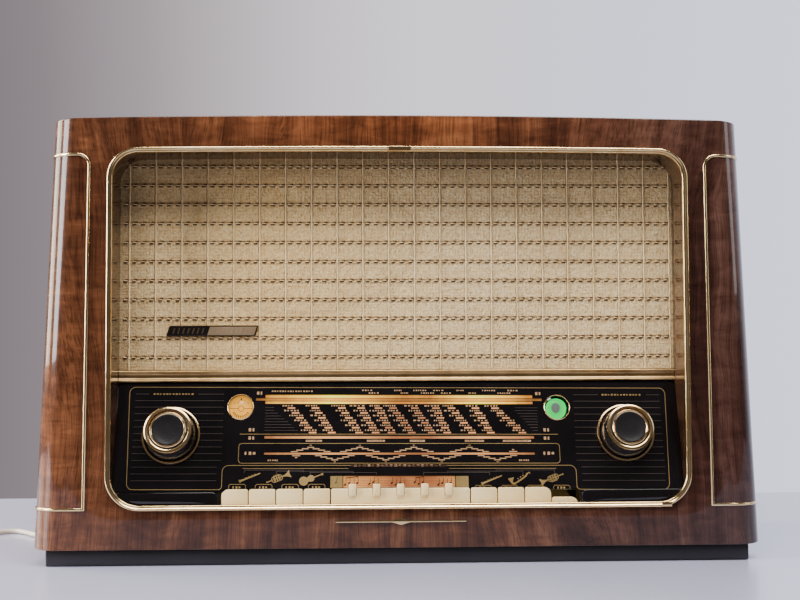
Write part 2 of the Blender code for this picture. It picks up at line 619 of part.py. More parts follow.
def main():
    for thing in list(bpy.data.objects):
        bpy.data.objects.remove(thing, do_unlink=True)

    wood = finish("walnut", (0.20, 0.075, 0.030), 0.25)
    lining = finish("dark_wood", (0.030, 0.012, 0.008), 0.15)
    black = finish("black_plastic", (0.012, 0.010, 0.012), 0.30)
    gold = finish("gold_plating", (0.83, 0.70, 0.45), 0.25, 1.0)
    brass = finish("brass", (0.85, 0.72, 0.45), 0.25, 1.0)
    bronze = finish("bronze", (0.50, 0.38, 0.22), 0.40, 1.0)
    cloth = finish("grille_fabric", (0.62, 0.50, 0.34), 0.90)
    board = finish("hardboard", (0.16, 0.09, 0.05), 0.80)
    glass = finish("glass", (0.05, 0.05, 0.05), 0.05)
    orange = finish("indicator_card", (0.90, 0.45, 0.12), 0.50)
    steel = finish("zinc_plated_steel", (0.60, 0.60, 0.58), 0.35, 1.0)
    iron = finish("dark_iron", (0.10, 0.10, 0.10), 0.55, 0.6)
    ivory = finish("ivory_plastic", (0.86, 0.78, 0.58), 0.35)
    cream = finish("cream_vinyl", (0.85, 0.82, 0.74), 0.40)
    rubber = finish("rubber", (0.05, 0.05, 0.05), 0.60)

    plane = bpy.data.objects.new("dial_plane", None)
    bpy.context.scene.collection.objects.link(plane)
    plane.location = (0, depth(DIAL_Y), DIAL_Z)
    plane.rotation_euler.x = math.radians(90) - DIAL_TILT

    make_cabinet(wood, black)
    make_front_dressing(gold, brass, lining, bronze, black)
    make_side_strips(brass)
    make_grille(board, cloth)
    make_dial(glass, steel, black, orange, plane)
    make_knobs(gold, black, steel, plane)
    make_keys(ivory, black)
    make_speakers(iron)
    make_chassis(steel, iron, glass, brass, black)
    make_back(board, black)
    make_mains_lead(rubber, cream)


main()
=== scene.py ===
import math

import bmesh
import bpy
from mathutils import Matrix, Vector


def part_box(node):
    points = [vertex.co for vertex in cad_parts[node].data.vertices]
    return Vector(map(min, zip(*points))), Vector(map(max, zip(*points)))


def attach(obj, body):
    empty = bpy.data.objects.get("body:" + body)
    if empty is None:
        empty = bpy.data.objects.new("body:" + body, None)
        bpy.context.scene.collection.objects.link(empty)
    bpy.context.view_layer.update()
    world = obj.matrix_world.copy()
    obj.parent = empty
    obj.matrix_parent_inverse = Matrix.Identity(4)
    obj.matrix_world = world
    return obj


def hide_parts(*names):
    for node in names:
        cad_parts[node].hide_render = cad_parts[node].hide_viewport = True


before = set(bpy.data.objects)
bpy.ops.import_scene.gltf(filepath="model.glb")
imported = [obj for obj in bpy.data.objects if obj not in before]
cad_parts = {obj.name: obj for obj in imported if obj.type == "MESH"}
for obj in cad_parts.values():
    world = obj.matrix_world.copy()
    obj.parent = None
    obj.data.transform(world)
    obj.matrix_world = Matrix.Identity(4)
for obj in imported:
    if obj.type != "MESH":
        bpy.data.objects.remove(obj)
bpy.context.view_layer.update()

# ---------------------------------------------------------------- sizes taken from the frame
CASE_LOW, CASE_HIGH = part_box("front_frame")
FRONT = CASE_LOW.y
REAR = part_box("right_side")[1].y
BOTTOM_Z = CASE_LOW.z
TOP_Z = CASE_HIGH.z
HALF_BOTTOM = CASE_HIGH.x
HALF_TOP = 0.30975
CORNER_Z = 0.3948
FRONT_THICK = 0.027
SIDE_WALL = 0.014
TOP_WALL = 0.012
CORNER_R = 0.026
LIP = 0.0035
RECESS = 0.0397

TRIM_LOW, TRIM_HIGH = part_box("front_trim")
OPENING_HALF = TRIM_HIGH.x
OPENING_LOW = TRIM_LOW.z
OPENING_HIGH = TRIM_HIGH.z
OPENING_ARCH = 0.0017
OPENING_R_TOP = 0.027
OPENING_R_LOW = 0.030
TRIM_FACE = 0.00475

DIAL_TILT = math.radians(17.0)
DIAL_Y = FRONT + 0.0367
DIAL_Z = 0.161
DIAL_HALF = 0.2540
DIAL_LENGTH = 0.101
KNOB_X = 0.2045
KNOB_S = -0.0508
EYE = (0.1439, -0.026)
DISC = (-0.1436, -0.024)
DIAL_MATRIX = (Matrix.Translation((0, DIAL_Y, DIAL_Z))
               @ Matrix.Rotation(math.radians(90) - DIAL_TILT, 4, "X"))
KEY_TURN = math.radians(6.8)

FLOOR_X = (-1.15, 1.15)
FLOOR_Y = (-0.36, 0.44)
FLOOR_THICK = 0.03
ROOM_DARK = (0.055, 0.048, 0.048, 1)
ROOM_PALE = (0.36, 0.34, 0.36, 1)
ROOM_STRENGTH = 1.6
MIX_A, MIX_B, MIX_OUT = 6, 7, 2   # a colour Mix node's two inputs and its output

CORD_R = 0.0024
COIL_CENTRE = (-0.453, 0.165)
COIL_R = 0.0265


def depth(value):
    """The y of a point that lies this far behind the front face."""
    return FRONT + value


# ---------------------------------------------------------------- camera and lights
def make_camera():
    """A viewpoint a little left of the middle, level with the lower edge of the cloth."""
    yaw, pitch, roll = (math.radians(angle) for angle in (2.24, 2.94, -0.23))
    ahead = Vector((math.sin(yaw) * math.cos(pitch), math.cos(yaw) * math.cos(pitch), math.sin(pitch)))
    level = Vector((math.cos(yaw), -math.sin(yaw), 0))
    over = level.cross(ahead)
    right = math.cos(roll) * level + math.sin(roll) * over
    up = -math.sin(roll) * level + math.cos(roll) * over
    lens = bpy.data.cameras.new("camera")
    lens.sensor_width = 36.0
    lens.lens = 55.84
    camera = bpy.data.objects.new("camera", lens)
    bpy.context.scene.collection.objects.link(camera)
    place = Matrix((right, up, -ahead)).transposed().to_4x4()
    place.translation = (-0.0432, FRONT - 1.1002, 0.1764)
    camera.matrix_world = place
    bpy.context.scene.camera = camera


def area_light(name, place, target, size, power, colour):
    data = bpy.data.lights.new(name, "AREA")
    data.shape = "RECTANGLE"
    data.size, data.size_y = size
    data.energy = power
    data.color = colour
    lamp = bpy.data.objects.new(name, data)
    bpy.context.scene.collection.objects.link(lamp)
    lamp.location = place
    lamp.rotation_euler = (Vector(target) - Vector(place)).to_track_quat("-Z", "Y").to_euler()


def make_lights():
    """Two tall windows on the left, a soft ceiling and a weak fill from the right."""
    area_light("window_front", (-1.64, -0.62, 0.80), (0, -0.1, 0.2), (0.56, 1.30), 56, (1.0, 0.98, 0.99))
    area_light("window_side", (-1.60, 0.36, 0.80), (0, -0.1, 0.2), (0.74, 1.30), 40, (1.0, 0.90, 0.76))
    area_light("ceiling", (0.25, -1.05, 2.0), (0, 0, 0.2), (1.6, 0.8), 70, (1.0, 0.97, 0.94))
    area_light("right_fill", (1.9, -0.5, 1.0), (0, 0, 0.2), (0.5, 1.2), 7, (0.92, 0.95, 1.0))
    area_light("rear_soft", (0.4, 1.6, 1.7), (0, 0.1, 0.1), (1.8, 1.0), 16, (1.0, 1.0, 1.0))


WALL = ((0.125, (0.147, 0.124, 0.137)), (0.206, (0.188, 0.163, 0.176)), (0.300, (0.290, 0.258, 0.272)),
        (0.367, (0.412, 0.370, 0.395)), (0.469, (0.600, 0.560, 0.595)), (0.569, (0.710, 0.680, 0.750)),
        (0.760, (0.720, 0.735, 0.860)), (0.925, (0.760, 0.790, 0.960)))


def make_world():
    """A dim room in front of the radio and a pale wall behind it, lighter towards the right."""
    world = bpy.data.worlds.new("studio")
    bpy.context.scene.world = world
    world.use_nodes = True
    tree = world.node_tree
    parts = tree.nodes.new("ShaderNodeSeparateXYZ")
    tree.links.new(tree.nodes.new("ShaderNodeTexCoord").outputs["Generated"], parts.inputs[0])
    spans = []
    for axis, low, high in (("X", -0.40, 0.40), ("Y", -0.1, 0.5), ("Z", -0.24, -0.42)):
        span = tree.nodes.new("ShaderNodeMapRange")
        span.inputs["From Min"].default_value = low
        span.inputs["From Max"].default_value = high
        tree.links.new(parts.outputs[axis], span.inputs["Value"])
        spans.append(span.outputs["Result"])
    wall = tree.nodes.new("ShaderNodeValToRGB")
    stops = wall.color_ramp.elements
    while len(stops) < len(WALL):
        stops.new(0.5)
    for stop, (place, colour) in zip(stops, WALL):
        stop.position = place
        stop.color = (*colour, 1)
    tree.links.new(spans[0], wall.inputs[0])
    front, whole = (tree.nodes.new("ShaderNodeMix") for _ in range(2))
    front.data_type = whole.data_type = "RGBA"
    front.inputs[MIX_A].default_value = ROOM_DARK
    front.inputs[MIX_B].default_value = ROOM_PALE
    tree.links.new(spans[2], front.inputs[0])
    tree.links.new(front.outputs[MIX_OUT], whole.inputs[MIX_A])
    tree.links.new(spans[1], whole.inputs[0])
    tree.links.new(wall.outputs[0], whole.inputs[MIX_B])
    tree.links.new(whole.outputs[MIX_OUT], tree.nodes["Background"].inputs["Color"])
    tree.nodes["Background"].inputs["Strength"].default_value = ROOM_STRENGTH


# ---------------------------------------------------------------- material helpers
class Shade:
    """A Principled material whose colour, roughness and bump come from a small node graph."""

    def __init__(self, name, roughness=0.5, metallic=0.0, **fixed):
        self.material = bpy.data.materials.new(name)
        self.material.use_nodes = True
        self.tree = self.material.node_tree
        self.shader = self.tree.nodes["Principled BSDF"]
        self.shader.inputs["Roughness"].default_value = roughness
        self.shader.inputs["Metallic"].default_value = metallic
        for label, value in fixed.items():
            self.shader.inputs[label.replace("_", " ")].default_value = value
        self.coords = self.tree.nodes.new("ShaderNodeTexCoord").outputs["Object"]

    def node(self, kind, **values):
        made = self.tree.nodes.new("ShaderNode" + kind)
        for label, value in values.items():
            setattr(made, label, value)
        return made

    def feed(self, socket, value):
        if hasattr(value, "node"):
            self.tree.links.new(value, socket)
        else:
            socket.default_value = value

    def stretch(self, scale, vector=None):
        mapping = self.node("Mapping")
        self.feed(mapping.inputs["Vector"], vector or self.coords)
        mapping.inputs["Scale"].default_value = scale
        return mapping.outputs["Vector"]

    def noise(self, vector, scale=1.0, detail=4.0, roughness=0.55, distortion=0.0):
        made = self.node("TexNoise")
        self.feed(made.inputs["Vector"], vector)
        for label, value in (("Scale", scale), ("Detail", detail), ("Roughness", roughness),
                             ("Distortion", distortion)):
            made.inputs[label].default_value = value
        return made.outputs["Fac"]

    def wave(self, vector, scale, distortion=0.0, detail=2.0, direction="X"):
        made = self.node("TexWave", bands_direction=direction)
        self.feed(made.inputs["Vector"], vector)
        for label, value in (("Scale", scale), ("Distortion", distortion), ("Detail", detail)):
            made.inputs[label].default_value = value
        return made.outputs["Fac"]

    def ramp(self, value, *stops):
        made = self.node("ValToRGB")
        self.feed(made.inputs["Fac"], value)
        band = made.color_ramp
        while len(band.elements) < len(stops):
            band.elements.new(0.5)
        for element, (place, colour) in zip(band.elements, stops):
            element.position = place
            element.color = (*colour, 1) if len(colour) == 3 else colour
        return made.outputs["Color"]

    def math(self, operation, first, second=0.0, clamp=False):
        made = self.node("Math", operation=operation, use_clamp=clamp)
        self.feed(made.inputs[0], first)
        self.feed(made.inputs[1], second)
        return made.outputs[0]

    def times(self, first, second, clamp=False):
        return self.math("MULTIPLY", first, second, clamp)

    def plus(self, first, second, clamp=False):
        return self.math("ADD", first, second, clamp)

    def minus(self, first, second, clamp=False):
        return self.math("SUBTRACT", first, second, clamp)

    def mix(self, factor, first, second, blend="MIX"):
        made = self.node("Mix", data_type="RGBA", blend_type=blend)
        self.feed(made.inputs[0], factor)
        self.feed(made.inputs[MIX_A], (*first, 1) if isinstance(first, tuple) else first)
        self.feed(made.inputs[MIX_B], (*second, 1) if isinstance(second, tuple) else second)
        return made.outputs[MIX_OUT]

    def tint(self, factor, tone, by):
        return self.mix(factor, tone, by, "MULTIPLY")

    def colour(self, value):
        self.feed(self.shader.inputs["Base Color"], (*value, 1) if isinstance(value, tuple) else value)

    def rough(self, value, low, high):
        spread = self.node("MapRange")
        self.feed(spread.inputs["Value"], value)
        spread.inputs["To Min"].default_value = low
        spread.inputs["To Max"].default_value = high
        self.feed(self.shader.inputs["Roughness"], spread.outputs["Result"])

    def bump(self, height, distance, strength=1.0):
        made = self.node("Bump")
        made.inputs["Strength"].default_value = strength
        made.inputs["Distance"].default_value = distance
        self.feed(made.inputs["Height"], height)
        self.feed(self.shader.inputs["Normal"], made.outputs["Normal"])


def walnut():
    """Figured walnut veneer under polished lacquer: the grain runs up the cabinet and back over its top."""
    s = Shade("walnut_veneer", 0.24, Coat_Weight=0.55, Coat_Roughness=0.05, Specular_IOR_Level=0.10)
    drift = s.noise(s.stretch((3.0, 3.0, 1.2)), 1.6, 3, 0.5, 0.3)
    shifted = s.node("VectorMath", operation="ADD")
    push = s.node("CombineXYZ")
    s.feed(push.inputs["X"], s.times(drift, 0.17))
    s.feed(push.inputs["Y"], s.times(drift, 0.08))
    parts = s.node("SeparateXYZ")
    s.feed(parts.inputs[0], s.coords)
    facing = s.node("SeparateXYZ")
    s.feed(facing.inputs[0], s.node("NewGeometry").outputs["Normal"])
    swapped = s.node("CombineXYZ")
    for to, source in (("X", "X"), ("Y", "Z"), ("Z", "Y")):
        s.feed(swapped.inputs[to], parts.outputs[source])
    level = s.math("GREATER_THAN", facing.outputs["Z"], 0.7)
    s.feed(shifted.inputs[0], s.mix(level, s.coords, swapped.outputs[0]))
    s.feed(shifted.inputs[1], push.outputs[0])
    lines = shifted.outputs[0]
    bands = s.noise(s.stretch((42, 42, 1.3), lines), 1.0, 4, 0.55, 0.3)
    fine = s.noise(s.stretch((260, 260, 7.0), lines), 1.0, 4, 0.65)
    pores = s.noise(s.stretch((950, 950, 24), lines), 1.0, 2, 0.5)
    ripple = s.noise(s.stretch((34, 34, 95), lines), 1.0, 3, 0.6, 0.6)
    cloud = s.noise(s.coords, 5.5, 3, 0.5)
    value = s.plus(s.times(bands, 0.56), s.times(fine, 0.18))
    value = s.plus(value, s.times(ripple, 0.26))
    tone = s.ramp(value, (0.36, (0.020, 0.0066, 0.0034)), (0.46, (0.058, 0.0200, 0.0090)),
                  (0.54, (0.114, 0.0415, 0.0180)), (0.64, (0.208, 0.084, 0.0370)))
    # Painted light on the veneer: the upper rail is painted more orange around its middle as warm light,
    # the right-hand side is painted darker as shade, and the left one paler as window light.
    near = s.minus(1.0, s.times(s.math("ABSOLUTE", parts.outputs["X"]), 4.0), True)
    high = s.times(s.minus(parts.outputs["Z"], 0.355), 26.0, True)
    painted_warm_light = s.times(near, high)
    tone = s.mix(s.times(painted_warm_light, 0.8), tone, s.tint(1.0, tone, (2.1, 1.75, 1.30)))
    # Painted shade: the right-hand side of the veneer is darkened.
    right = s.times(s.minus(parts.outputs["X"], 0.05), 4.5, True)
    tone = s.mix(s.times(right, 0.75), tone, s.tint(1.0, tone, (0.46, 0.62, 1.25)))
    # Painted window light and reflection: the left stile is made paler.
    left = s.times(s.minus(-0.262, parts.outputs["X"]), 60.0, True)
    tone = s.mix(s.times(left, 0.8), tone, s.tint(1.0, tone, (2.1, 2.15, 2.0)))
    tone = s.mix(s.times(cloud, 0.30), tone, (0.060, 0.019, 0.008))
    streak = s.ramp(pores, (0.38, (0.42, 0.40, 0.40)), (0.50, (1, 1, 1)))
    s.colour(s.mix(0.65, tone, streak, "MULTIPLY"))
    s.rough(fine, 0.18, 0.30)
    s.bump(pores, 0.00004, 0.30)
    return s.material


def dark_wood():
    s = Shade("dark_polished_wood", 0.26, Coat_Weight=0.35, Coat_Roughness=0.10)
    grain = s.noise(s.stretch((60, 3, 60)), 1.0, 4, 0.6)
    s.colour(s.ramp(grain, (0.35, (0.022, 0.0095, 0.005)), (0.65, (0.095, 0.042, 0.019))))
    s.rough(grain, 0.10, 0.20)
    return s.material


def bare_wood(name, dark, light):
    s = Shade(name, 0.7)
    grain = s.noise(s.stretch((4, 90, 90)), 1.0, 5, 0.6, 0.3)
    s.colour(s.ramp(grain, (0.3, dark), (0.7, light)))
    s.bump(grain, 0.0002, 0.4)
    return s.material


def metal(name, dark, light, roughness=(0.14, 0.30), brushed=None):
    """A plated metal with faint clouding, and brushing along one axis if asked."""
    s = Shade(name, roughness[0], 1.0)
    cloud = s.noise(s.coords, 60, 4, 0.6)
    s.colour(s.ramp(cloud, (0.3, dark), (0.7, light)))
    fine = s.noise(s.stretch(brushed) if brushed else s.coords, 1.0 if brushed else 700, 3, 0.6)
    s.rough(fine, *roughness)
    s.bump(fine, 0.00002, 0.25)
    return s.material


def plastic(name, dark, light, roughness=(0.28, 0.42), grain=400, coat=0.2, painted_glow=None):
    s = Shade(name, roughness[0], Coat_Weight=coat, Coat_Roughness=0.12)
    cloud = s.noise(s.coords, 28, 3, 0.5)
    speck = s.noise(s.coords, grain, 3, 0.6)
    s.colour(s.ramp(cloud, (0.35, dark), (0.65, light)))
    s.rough(speck, *roughness)
    s.bump(speck, 0.00002, 0.2)
    # An optional painted glow: emission on a part that is not a lamp.
    if painted_glow:
        s.shader.inputs["Emission Color"].default_value = (*painted_glow[0], 1)
        s.shader.inputs["Emission Strength"].default_value = painted_glow[1]
    return s.material


def lit(name, edge, middle, strength, spots=0.0):
    """A translucent printed strip, brightest over the two lamps behind it."""
    s = Shade(name, 0.25, Coat_Weight=0.4, Coat_Roughness=0.05)
    parts = s.node("SeparateXYZ")
    s.feed(parts.inputs[0], s.coords)
    near = None
    for lamp, reach in ((-0.062, 17.0), (0.072, 21.0)):
        away = s.times(s.math("ABSOLUTE", s.minus(parts.outputs["X"], lamp)), reach, True)
        close = s.minus(1.0, away)
        near = close if near is None else s.math("MAXIMUM", near, close)
    cloud = s.noise(s.stretch((90, 90, 90)), 1.0, 3, 0.6)
    value = s.plus(s.times(near, 0.62), s.times(cloud, 0.45), True)
    tone = s.ramp(value, (0.20, edge), (0.62, middle),
                  (0.92, tuple(min(1.0, part * (1 + spots)) for part in middle)))
    s.colour(s.tint(1.0, tone, (0.5, 0.5, 0.5)))
    s.feed(s.shader.inputs["Emission Color"], tone)
    s.shader.inputs["Emission Strength"].default_value = strength
    return s.material


def grille_fabric():
    """A beige crepe weave, faintly darker around the sound openings behind it."""
    s = Shade("grille_weave", 0.85, Sheen_Weight=0.2, Sheen_Roughness=0.5)
    wobble = s.noise(s.coords, 90, 2, 0.5)
    weave = s.math("MAXIMUM", s.wave(s.coords, 230, 1.6, 2, "X"), s.wave(s.coords, 230, 1.6, 2, "Z"))
    crepe = s.noise(s.coords, 430, 4, 0.62, 0.5)
    grains = s.noise(s.coords, 1500, 2, 0.6)
    slub = s.noise(s.stretch((30, 30, 260)), 1.0, 4, 0.6)
    blotch = s.noise(s.coords, 11, 3, 0.55)
    value = s.plus(s.times(crepe, 0.62), s.times(weave, 0.16))
    value = s.plus(value, s.times(grains, 0.22))
    tone = s.ramp(value, (0.36, (0.400, 0.225, 0.085)), (0.50, (0.920, 0.620, 0.270)),
                  (0.64, (1.0, 0.86, 0.50)))
    tone = s.mix(s.times(slub, 0.30), tone, (0.84, 0.60, 0.31))
    tone = s.mix(s.times(blotch, 0.25), tone, (0.48, 0.32, 0.155))
    parts = s.node("SeparateXYZ")
    s.feed(parts.inputs[0], s.coords)
    for x, z, rx, rz in ((-0.090, 0.288, 0.1056, 0.066), (0.143, 0.298, 0.033, 0.033)):
        dx = s.math("DIVIDE", s.minus(parts.outputs["X"], x), rx)
        dz = s.math("DIVIDE", s.minus(parts.outputs["Z"], z), rz)
        span = s.math("SQRT", s.plus(s.times(dx, dx), s.times(dz, dz)))
        away = s.math("ABSOLUTE", s.minus(span, 1.0))
        edge = s.minus(1.0, s.times(away, 12.0), True)
        inside = s.times(s.math("LESS_THAN", span, 1.0), 0.07)
        tone = s.mix(s.plus(s.times(edge, 0.16), inside), tone, (0.20, 0.105, 0.042))
    # Painted warm light: the left half of the cloth is tinted a little warmer.
    painted_glow = s.minus(1.0, s.times(s.math("ABSOLUTE", s.plus(parts.outputs["X"], 0.12)), 6.0), True)
    tone = s.mix(s.times(painted_glow, 0.7), tone, s.tint(1.0, tone, (1.08, 0.97, 0.72)))
    # Painted shadow: the left and upper edges of the cloth are darkened where the recess wall and top shade
    # it.
    side = s.minus(1.0, s.times(s.plus(parts.outputs["X"], 0.2475), 38.0), True)
    above = s.minus(1.0, s.times(s.minus(0.3640, parts.outputs["Z"]), 46.0), True)
    painted_shadow = s.times(s.math("MAXIMUM", side, above), 0.62)
    s.colour(s.mix(painted_shadow, tone, s.tint(1.0, tone, (0.30, 0.25, 0.20))))
    s.bump(s.plus(s.times(crepe, 2.4), s.times(weave, 0.5)), 0.0009, 1.0)
    s.rough(wobble, 0.78, 0.92)
    return s.material


def fibre_board():
    s = Shade("fibre_board", 0.8)
    flecks = s.noise(s.stretch((160, 160, 60)), 1.0, 5, 0.7)
    cloud = s.noise(s.coords, 9, 3, 0.5)
    tone = s.ramp(flecks, (0.3, (0.055, 0.030, 0.016)), (0.7, (0.17, 0.10, 0.055)))
    s.colour(s.mix(s.times(cloud, 0.4), tone, (0.10, 0.058, 0.032)))
    s.bump(flecks, 0.0003, 0.5)
    return s.material


def floor_finish():
    s = Shade("pale_table", 0.30, Coat_Weight=0.25, Coat_Roughness=0.15)
    cloud = s.noise(s.coords, 3.0, 3, 0.5)
    s.colour(s.ramp(cloud, (0.3, (0.42, 0.435, 0.57)), (0.7, (0.47, 0.485, 0.62))))
    return s.material


def clear_glass(name, tint):
    s = Shade(name, 0.03, Transmission_Weight=0.85, IOR=1.47)
    s.colour(s.mix(s.noise(s.coords, 30, 2, 0.5), tint, tuple(0.9 * part for part in tint)))
    return s.material


def eye_face():
    """The tuning eye's fluorescent face: green, with a grey shadow in the middle."""
    s = Shade("eye_face", 0.2, Coat_Weight=0.6, Coat_Roughness=0.03)
    centre = DIAL_MATRIX @ Vector((EYE[0] - 0.0004, EYE[1] - 0.0008, 0))
    parts = s.node("SeparateXYZ")
    s.feed(parts.inputs[0], s.coords)
    dx = s.times(s.minus(parts.outputs["X"], centre.x), 1.16)
    dz = s.minus(parts.outputs["Z"], centre.z)
    span = s.math("SQRT", s.plus(s.times(dx, dx), s.times(dz, dz)))
    ray = s.noise(s.coords, 500, 2, 0.5)
    value = s.plus(s.times(span, 85.0), s.times(ray, 0.07))
    tone = s.ramp(value, (0.00, (0.10, 0.105, 0.10)), (0.40, (0.085, 0.10, 0.09)),
                  (0.45, (0.0, 0.46, 0.060)), (0.93, (0.0, 0.66, 0.095)), (1.0, (0.0, 0.12, 0.03)))
    s.colour(s.tint(1.0, tone, (0.15, 0.15, 0.15)))
    s.feed(s.shader.inputs["Emission Color"], tone)
    s.shader.inputs["Emission Strength"].default_value = 1.9
    return s.material


# ---------------------------------------------------------------- mesh helpers
def finish_mesh(name, mesh_data, material, smooth=35):
    bmesh.ops.recalc_face_normals(mesh_data, faces=mesh_data.faces)
    mesh = bpy.data.meshes.new(name)
    mesh_data.to_mesh(mesh)
    mesh_data.free()
    mesh.materials.append(material)
    if smooth:
        mesh.shade_smooth()
        mesh.set_sharp_from_angle(angle=math.radians(smooth))
    thing = bpy.data.objects.new(name, mesh)
    bpy.context.scene.collection.objects.link(thing)
    return thing


def piece(name, mesh_data, material, body="cabinet", nodes=(), matrix=None, smooth=35):
    """A visible piece that rides on a body and may stand for CAD nodes."""
    if matrix is not None:
        bmesh.ops.transform(mesh_data, matrix=matrix, verts=mesh_data.verts)
    thing = finish_mesh(name, mesh_data, material, smooth)
    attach(thing, body)
    if nodes:
        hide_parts(*nodes)
    return thing


def prism(outline, low, high, plane="xz"):
    place = {"xz": lambda u, v, w: (u, w, v),
             "yz": lambda u, v, w: (w, u, v),
             "xy": lambda u, v, w: (u, v, w)}[plane]
    mesh_data = bmesh.new()
    near = [mesh_data.verts.new(place(u, v, low)) for u, v in outline]
    far = [mesh_data.verts.new(place(u, v, high)) for u, v in outline]
    mesh_data.faces.new(near)
    mesh_data.faces.new(far)
    for index in range(len(outline)):
        after = (index + 1) % len(outline)
        mesh_data.faces.new((near[index], near[after], far[after], far[index]))
    return mesh_data


def box(x, y, z):
    return prism([(x[0], z[0]), (x[1], z[0]), (x[1], z[1]), (x[0], z[1])], y[0], y[1])


def turned(profile, segments=64, closed=False, ripple=None):
    """A (radius, height) profile turned about +Z; ripple(index, angle) may scale a ring's radius."""
    mesh_data = bmesh.new()
    rings = []
    for index, (radius, height) in enumerate(profile):
        if radius == 0.0:
            rings.append([mesh_data.verts.new((0, 0, height))] * segments)
            continue
        ring = []
        for step in range(segments):
            angle = 2 * math.pi * step / segments
            size = radius * (ripple(index, angle) if ripple else 1.0)
            ring.append(mesh_data.verts.new((size * math.cos(angle), size * math.sin(angle), height)))
        rings.append(ring)
    pairs = list(zip(rings, rings[1:]))
    if closed:
        pairs.append((rings[-1], rings[0]))
    for lower, upper in pairs:
        for step in range(segments):
            after = (step + 1) % segments
            mesh_data.faces.new(list(dict.fromkeys([lower[step], lower[after], upper[after], upper[step]])))
    return mesh_data


def loops(outlines, closed=True):
    """Bridge rings of points; each outline is a list of places in space."""
    mesh_data = bmesh.new()
    rings = [[mesh_data.verts.new(place) for place in outline] for outline in outlines]
    pairs = list(zip(rings, rings[1:]))
    if closed:
        pairs.append((rings[-1], rings[0]))
    for first, second in pairs:
        for index in range(len(first)):
            after = (index + 1) % len(first)
            mesh_data.faces.new((first[index], first[after], second[after], second[index]))
    return mesh_data, rings


def shift(mesh_data, by):
    bmesh.ops.translate(mesh_data, verts=mesh_data.verts, vec=by)


def spin(mesh_data, angle, axis):
    bmesh.ops.rotate(mesh_data, verts=mesh_data.verts, matrix=Matrix.Rotation(angle, 3, axis))


def arc(centre, radius, start, stop, steps):
    angles = [math.radians(start + (stop - start) * step / steps) for step in range(steps + 1)]
    return [(centre[0] + radius * math.cos(a), centre[1] + radius * math.sin(a)) for a in angles]


def rounded(x, z, radii, steps=6):
    """A rectangle with its own radius at the lower right, upper right, upper left and lower left."""
    if not isinstance(radii, tuple):
        radii = (radii,) * 4
    corners = ((x[1], z[0], -1, 1, -90), (x[1], z[1], -1, -1, 0), (x[0], z[1], 1, -1, 90),
               (x[0], z[0], 1, 1, 180))
    points = []
    for (cx, cz, inx, inz, start), radius in zip(corners, radii):
        points += arc((cx + inx * radius, cz + inz * radius), radius, start, start + 90, steps)
    return points


def merge(target, extra):
    """Add one bmesh to another."""
    lookup = {vert: target.verts.new(vert.co) for vert in extra.verts}
    for face in extra.faces:
        target.faces.new([lookup[vert] for vert in face.verts])
    extra.free()
    return target


def soften(mesh_data, width, segments=2, angle=30, keep=None):
    """Round the sharp edges of a bmesh."""
    bmesh.ops.recalc_face_normals(mesh_data, faces=mesh_data.faces)
    sharp = [edge for edge in mesh_data.edges
             if len(edge.link_faces) == 2 and edge.calc_face_angle(0) > math.radians(angle)
             and (keep is None or keep(edge))]
    bmesh.ops.bevel(mesh_data, geom=sharp, offset=width, segments=segments, profile=0.5, affect="EDGES",
                    clamp_overlap=True)
    return mesh_data


def cut(thing, mesh_data):
    """Cut a solid out of a piece for good."""
    tool = finish_mesh("tool", mesh_data, thing.data.materials[0], 0)
    modifier = thing.modifiers.new("cut", "BOOLEAN")
    modifier.operation = "DIFFERENCE"
    modifier.object = tool
    bpy.context.view_layer.update()
    done = bpy.data.meshes.new_from_object(thing.evaluated_get(bpy.context.evaluated_depsgraph_get()))
    thing.modifiers.clear()
    thing.data = done
    done.set_sharp_from_angle(angle=math.radians(35))
    bpy.data.objects.remove(tool)


# ---------------------------------------------------------------- shared outlines
def half_width(z):
    return HALF_BOTTOM - (z - BOTTOM_Z) * (HALF_BOTTOM - HALF_TOP) / (CORNER_Z - BOTTOM_Z)


def crown(x):
    return TOP_Z - (TOP_Z - CORNER_Z) * (x / HALF_TOP) ** 2


def opening(inset, steps=16):
    """The outline of the trimmed opening, drawn in by an inset, anticlockwise."""
    half = OPENING_HALF - inset
    low, high = OPENING_LOW + inset, OPENING_HIGH - inset
    r_low, r_top = OPENING_R_LOW - inset, OPENING_R_TOP - inset
    points = arc((half - r_low, low + r_low), r_low, -90, 0, steps)
    points += arc((half - r_top, high - r_top), r_top, 0, 90, steps)
    points += [((half - r_top) * (1 - step / 8), high) for step in range(1, 16)]
    points += arc((-half + r_top, high - r_top), r_top, 90, 180, steps)
    points += arc((-half + r_low, low + r_low), r_low, 180, 270, steps)
    middle = (low + high) / 2
    return [(x, z - OPENING_ARCH * (x / half) ** 2 * max(0.0, (z - middle) / (high - middle)))
            for x, z in points]


